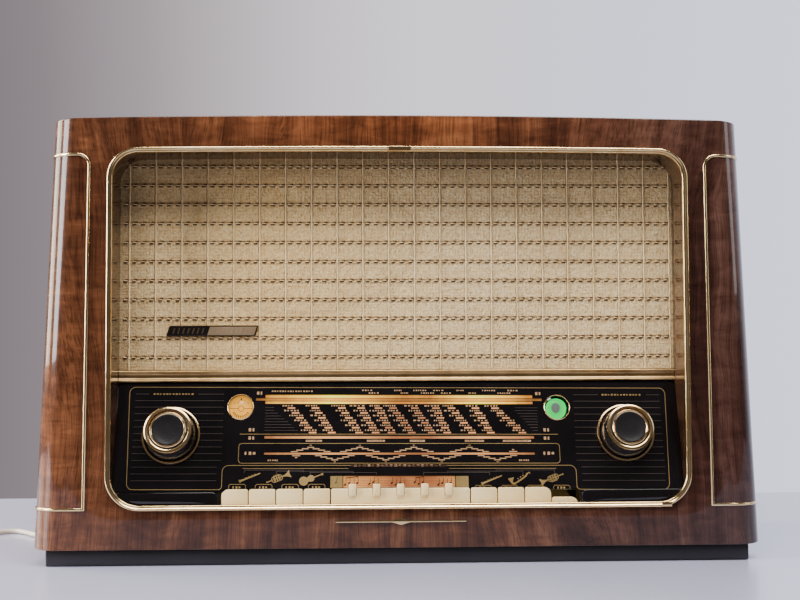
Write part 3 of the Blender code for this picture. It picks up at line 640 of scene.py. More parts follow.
# ---------------------------------------------------------------- cabinet
def make_cabinet(veneer, black):
    outline = [(-half_width(BOTTOM_Z), BOTTOM_Z), (half_width(BOTTOM_Z), BOTTOM_Z)]
    outline += [(x, crown(x)) for x in [HALF_TOP * (1 - step / 10) for step in range(21)]]
    body = prism(outline, depth(0), REAR)
    upright = [edge for edge in body.edges
               if all(vert.co.y < depth(0.001) for vert in edge.verts)
               and abs(edge.verts[0].co.z - edge.verts[1].co.z) > 0.3]
    bmesh.ops.bevel(body, geom=upright, offset=CORNER_R, segments=14, profile=0.5, affect="EDGES")
    soften(body, 0.0011, 3, 30)
    case = piece("walnut_case", body, veneer,
                 nodes=("front_frame", "top_panel", "left_side", "right_side"))
    inner = [(-half_width(BOTTOM_Z) + SIDE_WALL, BOTTOM_Z - 0.01),
             (half_width(BOTTOM_Z) - SIDE_WALL, BOTTOM_Z - 0.01)]
    inner_top = half_width(CORNER_Z - TOP_WALL) - SIDE_WALL
    inner += [(x, crown(x) - TOP_WALL) for x in [inner_top * (1 - step / 10) for step in range(21)]]
    cut(case, prism(inner, depth(FRONT_THICK), REAR + 0.01))
    cut(case, prism(opening(0.0004), depth(-0.01), depth(FRONT_THICK + 0.005)))
    cut(case, box((-0.2588, 0.2588), (depth(LIP), depth(FRONT_THICK + 0.005)), (0.034, 0.080)))

    low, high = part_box("plinth")
    foot = soften(box((low.x, high.x), (low.y, high.y), (low.z, high.z)), 0.0015, 3)
    piece("plinth_board", foot, black, nodes=("plinth",))


def make_trim(gold):
    """A pressed trim: a raised bead outside, a shallow hollow and a thin inner lip."""
    section = [(0.0000, -0.0003), (0.0000, -0.0014), (0.0003, -0.0020), (0.0009, -0.0024),
               (0.0015, -0.0025),
               (0.0021, -0.0023), (0.0026, -0.0018), (0.0032, -0.0015), (0.0040, -0.0015),
               (0.0045, -0.0012),
               (0.00475, -0.0006), (0.00475, 0.0030), (0.0042, 0.0030), (0.0042, -0.0003)]
    mesh_data, _ = loops([[(x, depth(y), z) for x, z in opening(inset)] for inset, y in section])
    piece("opening_trim", mesh_data, gold, nodes=("front_trim",), smooth=45)
    for name, x, half, z in (("trim_clip_top", 0.0, 0.010, OPENING_HIGH - 0.0024),
                             ("trim_clip_low", 0.236, 0.0045, OPENING_LOW + 0.0026)):
        clip = soften(box((x - half, x + half), (depth(-0.0029), depth(-0.0012)), (z - 0.0021, z + 0.0021)),
                      0.0005, 2)
        piece(name, clip, gold)


def make_lining(lining):
    foot = 0.066
    rows = []
    for inset in (0.0008, TRIM_FACE):
        arch = [point for point in opening(inset) if point[1] > 0.2]
        rows.append([(arch[0][0], foot)] + arch + [(arch[-1][0], foot)])
    outline = rows[0] + rows[1][::-1]
    piece("recess_walls", prism(outline, depth(LIP + 0.0003), depth(RECESS)), lining,
          nodes=("recess_lining",))


def strip_route(side):
    """The middle line of a side strip, with the direction its face looks in."""
    high, low, line_x, bend, rear = 0.3628, 0.0503, 0.275, 0.0100, 0.272
    route = []
    for z, order in ((high, 1), (low, -1)):
        half = half_width(z)
        run = [((half, depth(rear - 0.246 * step / 4), z), (1, 0, 0)) for step in range(4)]
        for step in range(17):
            turn = math.radians(90 * step / 16)
            normal = (math.cos(turn), -math.sin(turn), 0)
            run.append(((half - CORNER_R + CORNER_R * normal[0], depth(CORNER_R) + CORNER_R * normal[1], z),
                        normal))
        if order > 0:
            run += [((x, depth(0), z_bend), (0, -1, 0))
                    for x, z_bend in arc((line_x + bend, high - bend), bend, 90, 180, 10)]
        else:
            run.append(((line_x + 0.0026, depth(0), z), (0, -1, 0)))
        route += run[::order]
    return [(Vector((side * p[0], p[1], p[2])), Vector((side * n[0], n[1], n[2]))) for p, n in route]


def make_side_strips(brass):
    """A half-round brass strip that brackets each front corner and runs back along the side."""
    half, proud = 0.00125, 0.0011
    shape = [(-1.0, 0.0), (-1.0, 0.35), (-0.8, 0.75), (-0.4, 0.97), (0.0, 1.0), (0.4, 0.97), (0.8, 0.75),
             (1.0, 0.35), (1.0, 0.0)]
    for name, side, node in (("left_brass_strip", -1, "left_strip"),
                             ("right_brass_strip", 1, "right_strip")):
        route = strip_route(side)
        outlines = []
        for index, (point, normal) in enumerate(route):
            before = (point - route[index - 1][0]).normalized() if index else None
            after = (route[index + 1][0] - point).normalized() if index + 1 < len(route) else None
            tangent = ((before or after) + (after or before)).normalized()
            across = tangent.cross(normal).normalized() * half
            if before and after:
                across /= max(0.5, tangent.dot(after))
            outlines.append([point + across * u + normal * proud * v for u, v in shape])
        mesh_data, rings = loops(outlines, closed=False)
        mesh_data.faces.new(rings[0])
        mesh_data.faces.new(rings[-1])
        piece(name, mesh_data, brass, nodes=(node,), smooth=50)


# ---------------------------------------------------------------- grille
def make_grille(fabric, dark_thread, brown_thread, pale_thread):
    """A stretched cloth with raised upright ribs, each with a painted shadow strand beside it, and double
    rows of dark and pale stitches, the pale ones partly painted highlight.
    """
    low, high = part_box("grille_cloth")
    columns, rows = 172, 66
    mesh_data = bmesh.new()
    grid = []
    for row in range(rows + 1):
        z = low.z + (high.z - low.z) * row / rows
        line = []
        for column in range(columns + 1):
            x = low.x + (high.x - low.x) * column / columns
            line.append(mesh_data.verts.new((x, low.y + 0.00012 * math.sin(x * 260) * math.sin(z * 260),
                                             z)))
        grid.append(line)
    for a, b in zip(grid, grid[1:]):
        for column in range(columns):
            mesh_data.faces.new((a[column], a[column + 1], b[column + 1], b[column]))
    cloth = piece("woven_grille", mesh_data, fabric, nodes=("grille_cloth",), smooth=60)

    face = low.y - 0.0001
    rib_pitch, row_pitch, first_row = 0.0237, 0.0175, 0.3581
    dash_pitch = rib_pitch / 3
    ribs, shadows = bmesh.new(), bmesh.new()
    for index in range(-10, 12):
        x = -0.0088 + rib_pitch * index
        if abs(x) < high.x - 0.001:
            merge(ribs, rib(x, low.z, high.z, face, 0.00062))
            # A thin brown strand beside each rib is a painted shadow.
            merge(shadows, rib(x - 0.00105, low.z, high.z, face, 0.00026))
    piece("grille_ribs", ribs, pale_thread, smooth=70)
    piece("grille_rib_painted_shadows", shadows, brown_thread, smooth=70)
    dark, brown, pale = bmesh.new(), bmesh.new(), bmesh.new()
    for row in range(11):
        z = first_row - row_pitch * row
        merge(brown, stitch(0.0, z + 0.0012, face, 0.2505, 0.00036, 0.0004))
        for column in range(-32, 33):
            x = -0.0088 + dash_pitch * (column + 0.5)
            if abs(x) < 0.253:
                merge(dark, stitch(x, z - 0.0010, face, 0.0019, 0.00062, 0.0008))
                merge(dark, stitch(x + 0.0016, z + 0.0012, face, 0.0017, 0.00062, 0.0008))
                # The pale stitches are raised pale thread, and their colour is partly a painted highlight
                # between the dark knots.
                merge(pale, stitch(x + 0.0004, z + 0.0001, face, 0.0016, 0.00050, 0.0013))
                merge(pale, stitch(x + dash_pitch / 2 + 0.0006, z - 0.0010, face, 0.0011, 0.00042, 0.0010))
    piece("grille_dark_stitches", dark, dark_thread)
    piece("grille_row_threads", brown, brown_thread)
    piece("grille_pale_stitches_and_highlights", pale, pale_thread)


def rib(x, low, high, y, radius):
    """An upright thread on the cloth, slightly wavy, with a half-round front."""
    mesh_data = bmesh.new()
    shape = [(-1, 0), (-0.7, 0.7), (0, 1), (0.7, 0.7), (1, 0)]
    rings = []
    for step in range(67):
        z = low + (high - low) * step / 66
        drift = 0.00022 * math.sin(z * 700 + x * 900) + 0.00012 * math.sin(z * 1900 + x * 300)
        size = radius * (1.0 + 0.22 * math.sin(z * 1500 + x * 2100))
        rings.append([mesh_data.verts.new((x + drift + size * u, y - size * v, z)) for u, v in shape])
    for first, second in zip(rings, rings[1:]):
        for a in range(5):
            b = (a + 1) % 5
            mesh_data.faces.new((first[a], first[b], second[b], second[a]))
    mesh_data.faces.new(rings[0])
    mesh_data.faces.new(rings[-1])
    return mesh_data


def stitch(x, z, y, long, tall, proud):
    """One raised stitch: a small pillow lying across the cloth."""
    mesh_data = bmesh.new()
    ends = min(0.35 * long, 0.0006)
    back = [mesh_data.verts.new((x + u * long, y + 0.0001, z + v * tall))
            for u, v in ((-1, -1), (1, -1), (1, 1), (-1, 1))]
    front = [mesh_data.verts.new((x + u * (long - ends), y - proud, z + v * tall * 0.5))
             for u, v in ((-1, -1), (1, -1), (1, 1), (-1, 1))]
    mesh_data.faces.new(back)
    mesh_data.faces.new(front)
    for a in range(4):
        b = (a + 1) % 4
        mesh_data.faces.new((back[a], back[b], front[b], front[a]))
    return mesh_data


def make_divider(bronze):
    profile = [(0.0396, 0.1606), (0.0346, 0.1606), (0.0339, 0.1610), (0.0337, 0.1617), (0.0339, 0.1624),
               (0.0346, 0.1629), (0.0354, 0.1634), (0.0358, 0.1643), (0.0358, 0.1677), (0.0354, 0.1684),
               (0.0346, 0.1689), (0.0342, 0.1696), (0.0343, 0.1704), (0.0350, 0.1710), (0.0396, 0.1710)]
    outline = [(depth(y), z) for y, z in profile]
    piece("divider_moulding", prism(outline, -0.2541, 0.2541, "yz"), bronze,
          nodes=("divider_bar",), smooth=50)


def make_badges(black, gold, brass, pale):
    """The plain plate on the cloth and the plain bar on the lower rail."""
    badge = [(-0.2115, 0.2025), (-0.1315, 0.2025), (-0.1287, 0.2114), (-0.2087, 0.2114)]
    piece("badge_plate_body", soften(prism(badge, depth(0.0384), depth(RECESS)), 0.0004, 2), black,
          nodes=("badge_plate",))
    edge, face = 0.0005, depth(0.0382)
    rim = bmesh.new()
    for (x0, z0), (x1, z1) in ((badge[0], badge[1]), (badge[1], badge[2]), (badge[2], badge[3]),
                               (badge[3], badge[0])):
        run = Vector((x1 - x0, 0, z1 - z0)).normalized()
        side = run.cross(Vector((0, 1, 0))) * edge
        corners = [Vector((x, 0, z)) + side * sign for x, z,
                   sign in ((x0, z0, 0), (x1, z1, 0), (x1, z1, -1), (x0, z0, -1))]
        merge(rim, prism([(c.x, c.z) for c in corners], face - 0.0002, depth(0.0388)))
    piece("badge_rim", rim, gold)
    low, high = 0.2031, 0.2108
    plate = prism([(-0.1748, low), (-0.1322, low), (-0.1298, high), (-0.1724, high)], face - 0.0002,
                  depth(0.0388))
    for index in range(9):
        x = -0.1700 + 0.0042 * index
        tall = 0.0052 if index % 3 else 0.0060
        merge(plate,
              prism([(x, 0.2042), (x + 0.0016, 0.2042), (x + 0.0032, 0.2042 + tall),
                     (x + 0.0016, 0.2042 + tall)],
                           face - 0.0005, face - 0.0001))
    piece("badge_pale_half", soften(plate, 0.0001, 1), pale)
    strokes = bmesh.new()
    for index in range(7):
        x = -0.2065 + 0.0044 * index
        merge(strokes,
              prism([(x, 0.2046), (x + 0.0012, 0.2046), (x + 0.0028, 0.2096), (x + 0.0016, 0.2096)],
                             face - 0.0003, face + 0.0002))
    piece("badge_marks", strokes, gold)

    middle, bar, ray = 0.038, 0.0008, 0.0032
    shape = [(-0.0575, -bar), (-0.008, -bar), (0, -ray), (0.008, -bar), (0.0575, -bar), (0.0575, bar),
             (0.008, bar),
             (0, ray), (-0.008, bar), (-0.0575, bar)]
    ornament = prism([(x, middle + z) for x, z in shape], depth(-0.0018), depth(-0.0003))
    piece("front_ornament", soften(ornament, 0.0003, 2), brass, nodes=("ornament_bar",))


# ---------------------------------------------------------------- scale
class Ink:
    """Flat printed shapes on the scale, gathered into one mesh."""

    def __init__(self, height=0.00006):
        self.shapes = bmesh.new()
        self.height = height

    def patch(self, points):
        merge(self.shapes, prism(points, 0.0, self.height, "xy"))

    def bar(self, x0, x1, middle, tall):
        self.patch([(x0, middle - tall / 2), (x1, middle - tall / 2), (x1, middle + tall / 2),
                    (x0, middle + tall / 2)])

    def line(self, points, width, closed=False):
        """A line of even width through the points, mitred."""
        count = len(points)
        last = count if closed else count - 1
        edges = []
        for index in range(count):
            here = Vector(points[index])
            before = Vector(points[index - 1]) if index or closed else None
            after = Vector(points[(index + 1) % count]) if index < count - 1 or closed else None
            first = (here - before).normalized() if before else (after - here).normalized()
            second = (after - here).normalized() if after else first
            along = (first + second).normalized()
            side = Vector((-along.y, along.x)) * (width / 2 / max(0.4, along.dot(first)))
            edges.append((here + side, here - side))
        for index in range(last):
            a, b = edges[index], edges[(index + 1) % count]
            self.patch([a[0], a[1], b[1], b[0]])

    def words(self, x, s, length, tall, letters):
        """Small blocks that stand for a line of print."""
        pitch = length / letters
        for index in range(letters):
            start = x - length / 2 + pitch * index
            thin = 0.62 if (index * 7 + letters) % 3 else 0.42
            self.bar(start, start + pitch * thin, s, tall * (0.8 if index % 4 == 2 else 1.0))

    def number(self, text, x, s, size):
        curve = bpy.data.curves.new("number", "FONT")
        curve.body = text
        curve.size = size
        curve.align_x = "CENTER"
        curve.align_y = "CENTER"
        curve.extrude = self.height / 2
        curve.resolution_u = 3
        thing = bpy.data.objects.new("number", curve)
        bpy.context.scene.collection.objects.link(thing)
        bpy.context.view_layer.update()
        mesh = bpy.data.meshes.new_from_object(thing.evaluated_get(bpy.context.evaluated_depsgraph_get()))
        mesh.transform(Matrix.Translation((x, s, self.height / 2)))
        self.shapes.from_mesh(mesh)
        bpy.data.objects.remove(thing)
        bpy.data.meshes.remove(mesh)

    def done(self, name, material, slot):
        piece(name, self.shapes, material, matrix=PRINT_MATRIX, smooth=0)


BAND_END = 0.1215
PRINT_TURN = -0.0067              # the print sits a third of a degree askew, in radians
PRINT_MATRIX = (DIAL_MATRIX @ Matrix.Translation((0, -0.05, 0)) @ Matrix.Rotation(PRINT_TURN, 4, "Z")
                @ Matrix.Translation((0, 0.05, 0)))
# Lit strips behind the print: left, right, lower and upper edge.
STRIPS = ((-BAND_END, BAND_END, -0.0160, -0.0136), (-0.1300, 0.1300, -0.0190, -0.0167),
          (-BAND_END, BAND_END, -0.0220, -0.0197), (-BAND_END, BAND_END, -0.0542, -0.0518),
          (-BAND_END, BAND_END, -0.0688, -0.0670))
STAFF = (-0.0505, 0.0490, -0.0990, -0.0882)
LONG_WAVE_WINDOW = ((-BAND_END, -0.0220), (BAND_END, -0.0220), (BAND_END, -0.0190), (0.1300, -0.0190),
                    (0.1300, -0.0167), (BAND_END, -0.0167), (BAND_END, -0.0136), (-BAND_END, -0.0136),
                    (-BAND_END, -0.0167), (-0.1300, -0.0167), (-0.1300, -0.0190), (-BAND_END, -0.0190))


def make_scale_sheet(glass_black, glass_edge):
    """The black printed glass, with clear windows where light shows through."""
    panel = prism(rounded((-DIAL_HALF, DIAL_HALF), (-DIAL_LENGTH, -0.002), 0.004), -0.0009, 0.0, "xy")
    sheet = piece("scale_print", panel, glass_black, nodes=("dial_glass",),
                  matrix=DIAL_MATRIX)
    tools = prism(LONG_WAVE_WINDOW, -0.01, 0.01, "xy")
    for x0, x1, s0, s1 in (*STRIPS[3:], STAFF):
        merge(tools, prism(rounded((x0, x1), (s0, s1), min(0.0006, (s1 - s0) / 2.2), 3), -0.01, 0.01, "xy"))
    bmesh.ops.transform(tools, matrix=PRINT_MATRIX, verts=tools.verts)
    rounds = bmesh.new()
    for (x, s), radius in ((EYE, 0.0112), (DISC, 0.0112), ((-KNOB_X, KNOB_S), 0.0075),
                           ((KNOB_X, KNOB_S), 0.0075)):
        merge(rounds, prism(arc((x, s), radius, 0, 354.4, 63), -0.01, 0.01, "xy"))
    bmesh.ops.transform(rounds, matrix=DIAL_MATRIX, verts=rounds.verts)
    merge(tools, rounds)
    cut(sheet, tools)
    edge = loops([[(x, s, h) for x, s in rounded((-DIAL_HALF + inset, DIAL_HALF - inset),
                                                 (-DIAL_LENGTH + inset, -0.002 - inset), 0.004)]
                  for inset, h in ((0, -0.0010), (0, -0.0040), (0.003, -0.0040), (0.003, -0.0010))])[0]
    piece("scale_glass_edge", edge, glass_edge, matrix=DIAL_MATRIX)


def make_scale_lights(amber, dull, dusk, faint, staff, card, black):
    """What lies behind the windows: the lit strips, the indicator card and the register's lamp."""
    for index, (x0, x1, s0, s1) in enumerate(STRIPS, 1):
        strip = prism([(x0 - 0.001, s0), (x1 + 0.001, s0), (x1 + 0.001, s1), (x0 - 0.001, s1)], -0.0014,
                      -0.0010, "xy")
        piece(f"scale_strip_{index}", strip, (amber, dull, amber, dusk, dusk)[index - 1],
              matrix=PRINT_MATRIX)
    band = prism([(-0.1310, -0.0225), (0.1310, -0.0225), (0.1310, -0.0131), (-0.1310, -0.0131)], -0.0019,
                 -0.0015, "xy")
    piece("scale_glow", band, faint, matrix=PRINT_MATRIX)
    x0, x1, s0, s1 = STAFF
    panel = prism([(x0 - 0.001, s0), (x1 + 0.001, s0), (x1 + 0.001, s1), (x0 - 0.001, s1)], -0.0016,
                  -0.0012, "xy")
    piece("register_lamp_window", panel, staff, matrix=PRINT_MATRIX)

    centre = Matrix.Translation((*DISC, 0))
    disc = turned([(0, -0.0085), (0.0115, -0.0085), (0.0117, -0.0082), (0.0117, -0.0062), (0.0114, -0.0060),
                   (0, -0.0060)], 64)
    piece("aerial_card", disc, card, "antenna_indicator", ("antenna_indicator",),
          DIAL_MATRIX @ centre)
    marks = bmesh.new()
    top = -0.00585
    for radius, width in ((0.0107, 0.0003), (0.0027, 0.0004)):
        ring = loops([[(x, s, h) for x, s in arc((0, 0), r, 0, 354.4, 63)]
                      for r,
                      h in ((radius, top - 0.0002), (radius, top), (radius - width, top),
                            (radius - width, top - 0.0002))])[0]
        merge(marks, ring)
    for x0, x1 in ((-0.0106, -0.0027), (0.0027, 0.0106)):
        merge(marks,
              prism([(x0, -0.0002), (x1, -0.0002), (x1, 0.0002), (x0, 0.0002)], top - 0.0002, top, "xy"))
    merge(marks, prism([(-0.0010, 0.0082), (0.0010, 0.0082), (0, 0.0101)], top - 0.0002, top, "xy"))
    for x in (-0.0062, -0.0030, 0.0030, 0.0062):
        merge(marks, prism(arc((x, 0.0052), 0.0005, 0, 315, 7), top - 0.0002, top, "xy"))
    for index in range(9):
        angle = math.radians(212 + 14.5 * index)
        mark = prism([(0.0066, -0.0005), (0.0088, -0.0005), (0.0088, 0.0003), (0.0066, 0.0003)],
                     top - 0.0002, top, "xy")
        spin(mark, angle, "Z")
        merge(marks, mark)
    piece("aerial_card_marks", marks, black, "antenna_indicator",
          matrix=DIAL_MATRIX @ centre, smooth=0)


def make_eye(face, glass, gold):
    centre = DIAL_MATRIX @ Matrix.Translation((*EYE, 0))
    tube = [(0, -0.062), (0.0060, -0.0615), (0.0085, -0.060), (0.0108, -0.057), (0.0112, -0.054),
            (0.0112, -0.0100),
            (0.0108, -0.0075), (0.0100, -0.0064), (0, -0.0062)]
    piece("eye_tube", turned(tube, 48), glass, nodes=("magic_eye",), matrix=centre)
    piece("eye_screen",
          turned([(0, -0.0061), (0.0098, -0.0062), (0.0098, -0.0054), (0.0088, -0.0050), (0, -0.0047)], 64),
          face, matrix=centre)
    for name, at in (("eye_ring", EYE), ("card_ring", DISC)):
        ring = turned([(0.0112, -0.0009), (0.0112, 0.0003), (0.0115, 0.0005), (0.0119, 0.0003),
                       (0.0120, 0.0)], 64)
        piece(name, ring, gold, matrix=DIAL_MATRIX @ Matrix.Translation((*at, 0)),
              smooth=60)


# Medium-wave stations: where each column's top bar sits, and how far the column leans to the right.
STATIONS = ((-0.0979, 0.0194), (-0.0762, 0.0149), (-0.0523, 0.0158), (-0.0348, 0.0131), (-0.0191, 0.0117),
            (-0.0059, 0.0167), (0.0140, 0.0149), (0.0331, 0.0098), (0.0473, 0.0182), (0.0691, 0.0133),
            (0.0870, 0.0240))


def make_scale_print(gold_ink, grey_ink, amber_ink, cream_ink, dark_ink):
    gold, grey, amber, cream, dark = Ink(), Ink(0.00004), Ink(0.00005), Ink(), Ink()
    side, top, low, box_x, box_top = 0.2440, -0.0067, -0.1004, 0.1580, -0.0787
    corner = 0.0055
    half = (arc((side - corner, top - corner), corner, 90, 0,
                5) + arc((side - 0.0025 - corner, low + corner), corner, 0, -90, 5)
            + arc((box_x + 0.003, low + 0.003), 0.003, 270, 180, 4)
            + arc((box_x - corner, box_top - corner), corner, 0, 90, 5))
    gold.line(half + [(-x, s) for x, s in half[::-1]], 0.0005, True)

    # fine lines over both side fields, and shorter ones beside the medium-wave rows
    for row in range(15):
        s = -0.0131 - 0.0061 * row
        if s < low + 0.002:
            break
        inner = 0.1630 if s < -0.0787 else 0.1590
        for sign in (-1, 1):
            if row:
                grey.line([(sign * 0.2385, s), (sign * inner, s)], 0.00032)
            else:
                grey.line([(sign * 0.2385, s), (sign * 0.2265, s)], 0.00032)
                grey.line([(sign * 0.1820, s), (sign * inner, s)], 0.00032)
    for row in range(9):
        s = -0.0255 - 0.00265 * row
        lean = 0.0026 * max(0, row - 1)
        grey.line([(-0.1215, s), (-0.1135 + lean * 1.2, s)], 0.0003)
        grey.line([(0.1255, s), (0.1050 + lean * 0.85, s)], 0.0003)
    for sign in (-1, 1):
        gold.words(sign * 0.2040, -0.0131, 0.0370, 0.0014, 13)

    # long-wave band: station names above, and ticks on its three lit strips
    cream.words(-0.0970, -0.0103, 0.0380, 0.0013, 16)
    for row, places in ((-0.0093, (-0.0290, -0.0010, 0.0190, 0.0360, 0.0560, 0.0820, 0.1040)),
                        (-0.0118, (-0.0230, 0.0050, 0.0260, 0.0430, 0.0670, 0.0960))):
        for index, x in enumerate(places):
            size = 0.0075 + 0.0025 * ((index * 5 + 1) % 3)
            cream.words(x, row, size, 0.0012, 4 + index % 3)
    for index in range(17):
        x = -0.0880 + 0.0122 * index
        dark.bar(x, x + 0.0005, -0.0166 if index % 2 else -0.0198, 0.0008)
    for sign in (-1, 1):
        for x, s, wide, blocks in ((0.1268, -0.0121, 0.0066, 2), (0.1330, -0.0462, 0.0070, 2),
                                   (0.1330, -0.0538, 0.0070, 2), (0.1340, -0.0677, 0.0110, 3)):
            cream.words(sign * x + 0.0008, s, wide, 0.0028, blocks)

    # medium-wave band: six leaning rows of names, each with its lit bar
    for row in range(6):
        s = -0.0260 - 0.00455 * row
        for column, (start, lean) in enumerate(STATIONS):
            x = start + lean * row / 5
            amber.bar(x - 0.0034, x + 0.0034, s, 0.0014)
            reach = 0.0100 + 0.0016 * ((row * 3 + column * 5) % 4)
            cream.words(x - 0.0030, s + 0.0022, reach, 0.0013, 4 + (row + column) % 3)
    gold.line([(-0.1434, -0.0502), (0.1434, -0.0502)], 0.0005)

    # short-wave band
    for x0, x1 in ((-0.0843, -0.0699), (-0.0296, -0.0134), (0.0091, 0.0226), (0.0587, 0.0759),
                   (0.0931, 0.1185)):
        cream.bar(x0, x1, -0.0563, 0.0017)
        dark.words((x0 + x1) / 2, -0.0563, (x1 - x0) * 0.85, 0.0008, int((x1 - x0) / 0.0024))

    # very-high-frequency band: a framed strip with stepped waves above and below it
    frame_x, frame_top, frame_low = 0.1441, -0.0587, -0.0767
    gold.line(rounded((-frame_x, frame_x), (frame_low, frame_top), 0.0030, 4), 0.0005, True)
    strip = -0.0680
    waves = [(centre, 1) for centre in (-0.0799, -0.0360, 0.0126, 0.0625)]
    waves += [(centre, -1) for centre in (-0.0583, -0.0128, 0.0373, 0.0876)]
    for centre, sign in waves:
        for level in range(4):
            reach = 0.0049 * (3 - level)
            for x in {centre - reach, centre + reach}:
                cream.bar(x - 0.0030, x + 0.0030, strip + sign * (0.0018 + 0.0013 * level), 0.0009)
    for centre, sign in ((0.1021, 1), (-0.0928, -1)):
        cream.bar(centre - 0.0036, centre + 0.0036, strip + sign * 0.0019, 0.0009)
        cream.bar(centre - 0.0010, centre + 0.0010, strip + sign * 0.0036, 0.0009)
    for index, (centre, sign) in enumerate(sorted(waves)):
        cream.number(str(88 + 2 * index), centre, strip + sign * 0.0075, 0.0019)
    for x in (-0.1130, 0.1120):
        cream.words(x, frame_low + 0.0026, 0.0100, 0.0014, 5)
    make_register_print(gold, grey, cream, dark)

    gold.done("scale_lines", gold_ink, "printed_glass")
    grey.done("scale_fine_lines", grey_ink, "printed_glass")
    amber.done("scale_lit_marks", amber_ink, "printed_glass")
    cream.done("scale_marks", cream_ink, "printed_glass")
    dark.done("scale_dark_marks", dark_ink, "printed_glass")


def make_register_print(gold, grey, cream, dark):
    """The register field: its heading, staff window, instrument signs and key frames."""
    dark.bar(-0.0440, 0.0420, -0.0787, 0.0026)
    cream.words(-0.0010, -0.0787, 0.0800, 0.0019, 20)
    gold.line([(-0.1400, -0.0815), (-0.0460, -0.0815)], 0.0004)
    gold.line([(0.0440, -0.0815), (0.1400, -0.0815)], 0.0004)
    for sign in (-1, 1):
        for step, (x0, x1) in enumerate(((0.1385, 0.0860), (0.1100, 0.0420), (0.0800, 0.0210))):
            s = -0.0829 - 0.0011 * step
            grey.line([(sign * x0, s - 0.0026), (sign * x0, s), (sign * x1, s), (sign * x1, s - 0.0020)],
                      0.00035)
    for x0, x1 in ((-0.0620, -0.0512), (0.0497, 0.0610)):
        gold.bar(x0, x1, -0.0936, 0.0104)
    clef = [(-0.0560, -0.0975)] + arc((-0.0566, -0.0952), 0.0013, -60, 200, 8)
    clef += [(-0.0562, -0.0912), (-0.0557, -0.0892)]
    dark.line(clef, 0.0006)
    for line in range(5):
        dark.bar(-0.0500, 0.0486, -0.0968 + 0.0015 * line, 0.00014)
    groups = ((-0.0430, 4, 1), (-0.0215, 3, 0), (-0.0015, 4, 0), (0.0190, 3, 1), (0.0400, 4, 0))
    for index, (x, count, beamed) in enumerate(groups):
        for stroke in range(count):
            place = x - 0.0060 + 0.0036 * stroke
            rise = 0.0008 * ((index + stroke * 2) % 4)
            head = [(place + u * 0.0011, -0.0962 + rise + v * 0.0008 + u * 0.0004)
                    for u, v in arc((0, 0), 1.0, 0, 330, 11)]
            dark.patch(head)
            dark.bar(place + 0.0007, place + 0.0011, (-0.0962 - 0.0905 + rise * 1.5) / 2,
                     0.0057 - rise * 0.5)
        if beamed:
            end = x - 0.0060 + 0.0036 * (count - 1)
            dark.patch([(x - 0.0053, -0.0905), (end + 0.0011, -0.0893), (end + 0.0011, -0.0885),
                        (x - 0.0053, -0.0897)])
    for x, s, kind in ((-0.1330, -0.0893, 0), (-0.1075, -0.0898, 1), (-0.0795, -0.0905, 2),
                       (0.0822, -0.0916, 0), (0.1078, -0.0914, 3), (0.1352, -0.0908, 4)):
        instrument(gold, x, s, kind)
    for side in (-1, 1):
        for step in range(4):
            x = side * (0.1443 - 0.0234 * step)
            top = -0.0957 if side < 0 else -0.0968
            gold.line([(x - 0.0074, -0.1003), (x - 0.0074, top - 0.0012), (x - 0.0062, top),
                       (x + 0.0062, top),
                       (x + 0.0074, top - 0.0012), (x + 0.0074, -0.1003)], 0.0004)
            gold.words(x, -0.0985 if side < 0 else -0.0990, 0.0080, 0.0022,
                       3 if side < 0 or step == 0 else 2)


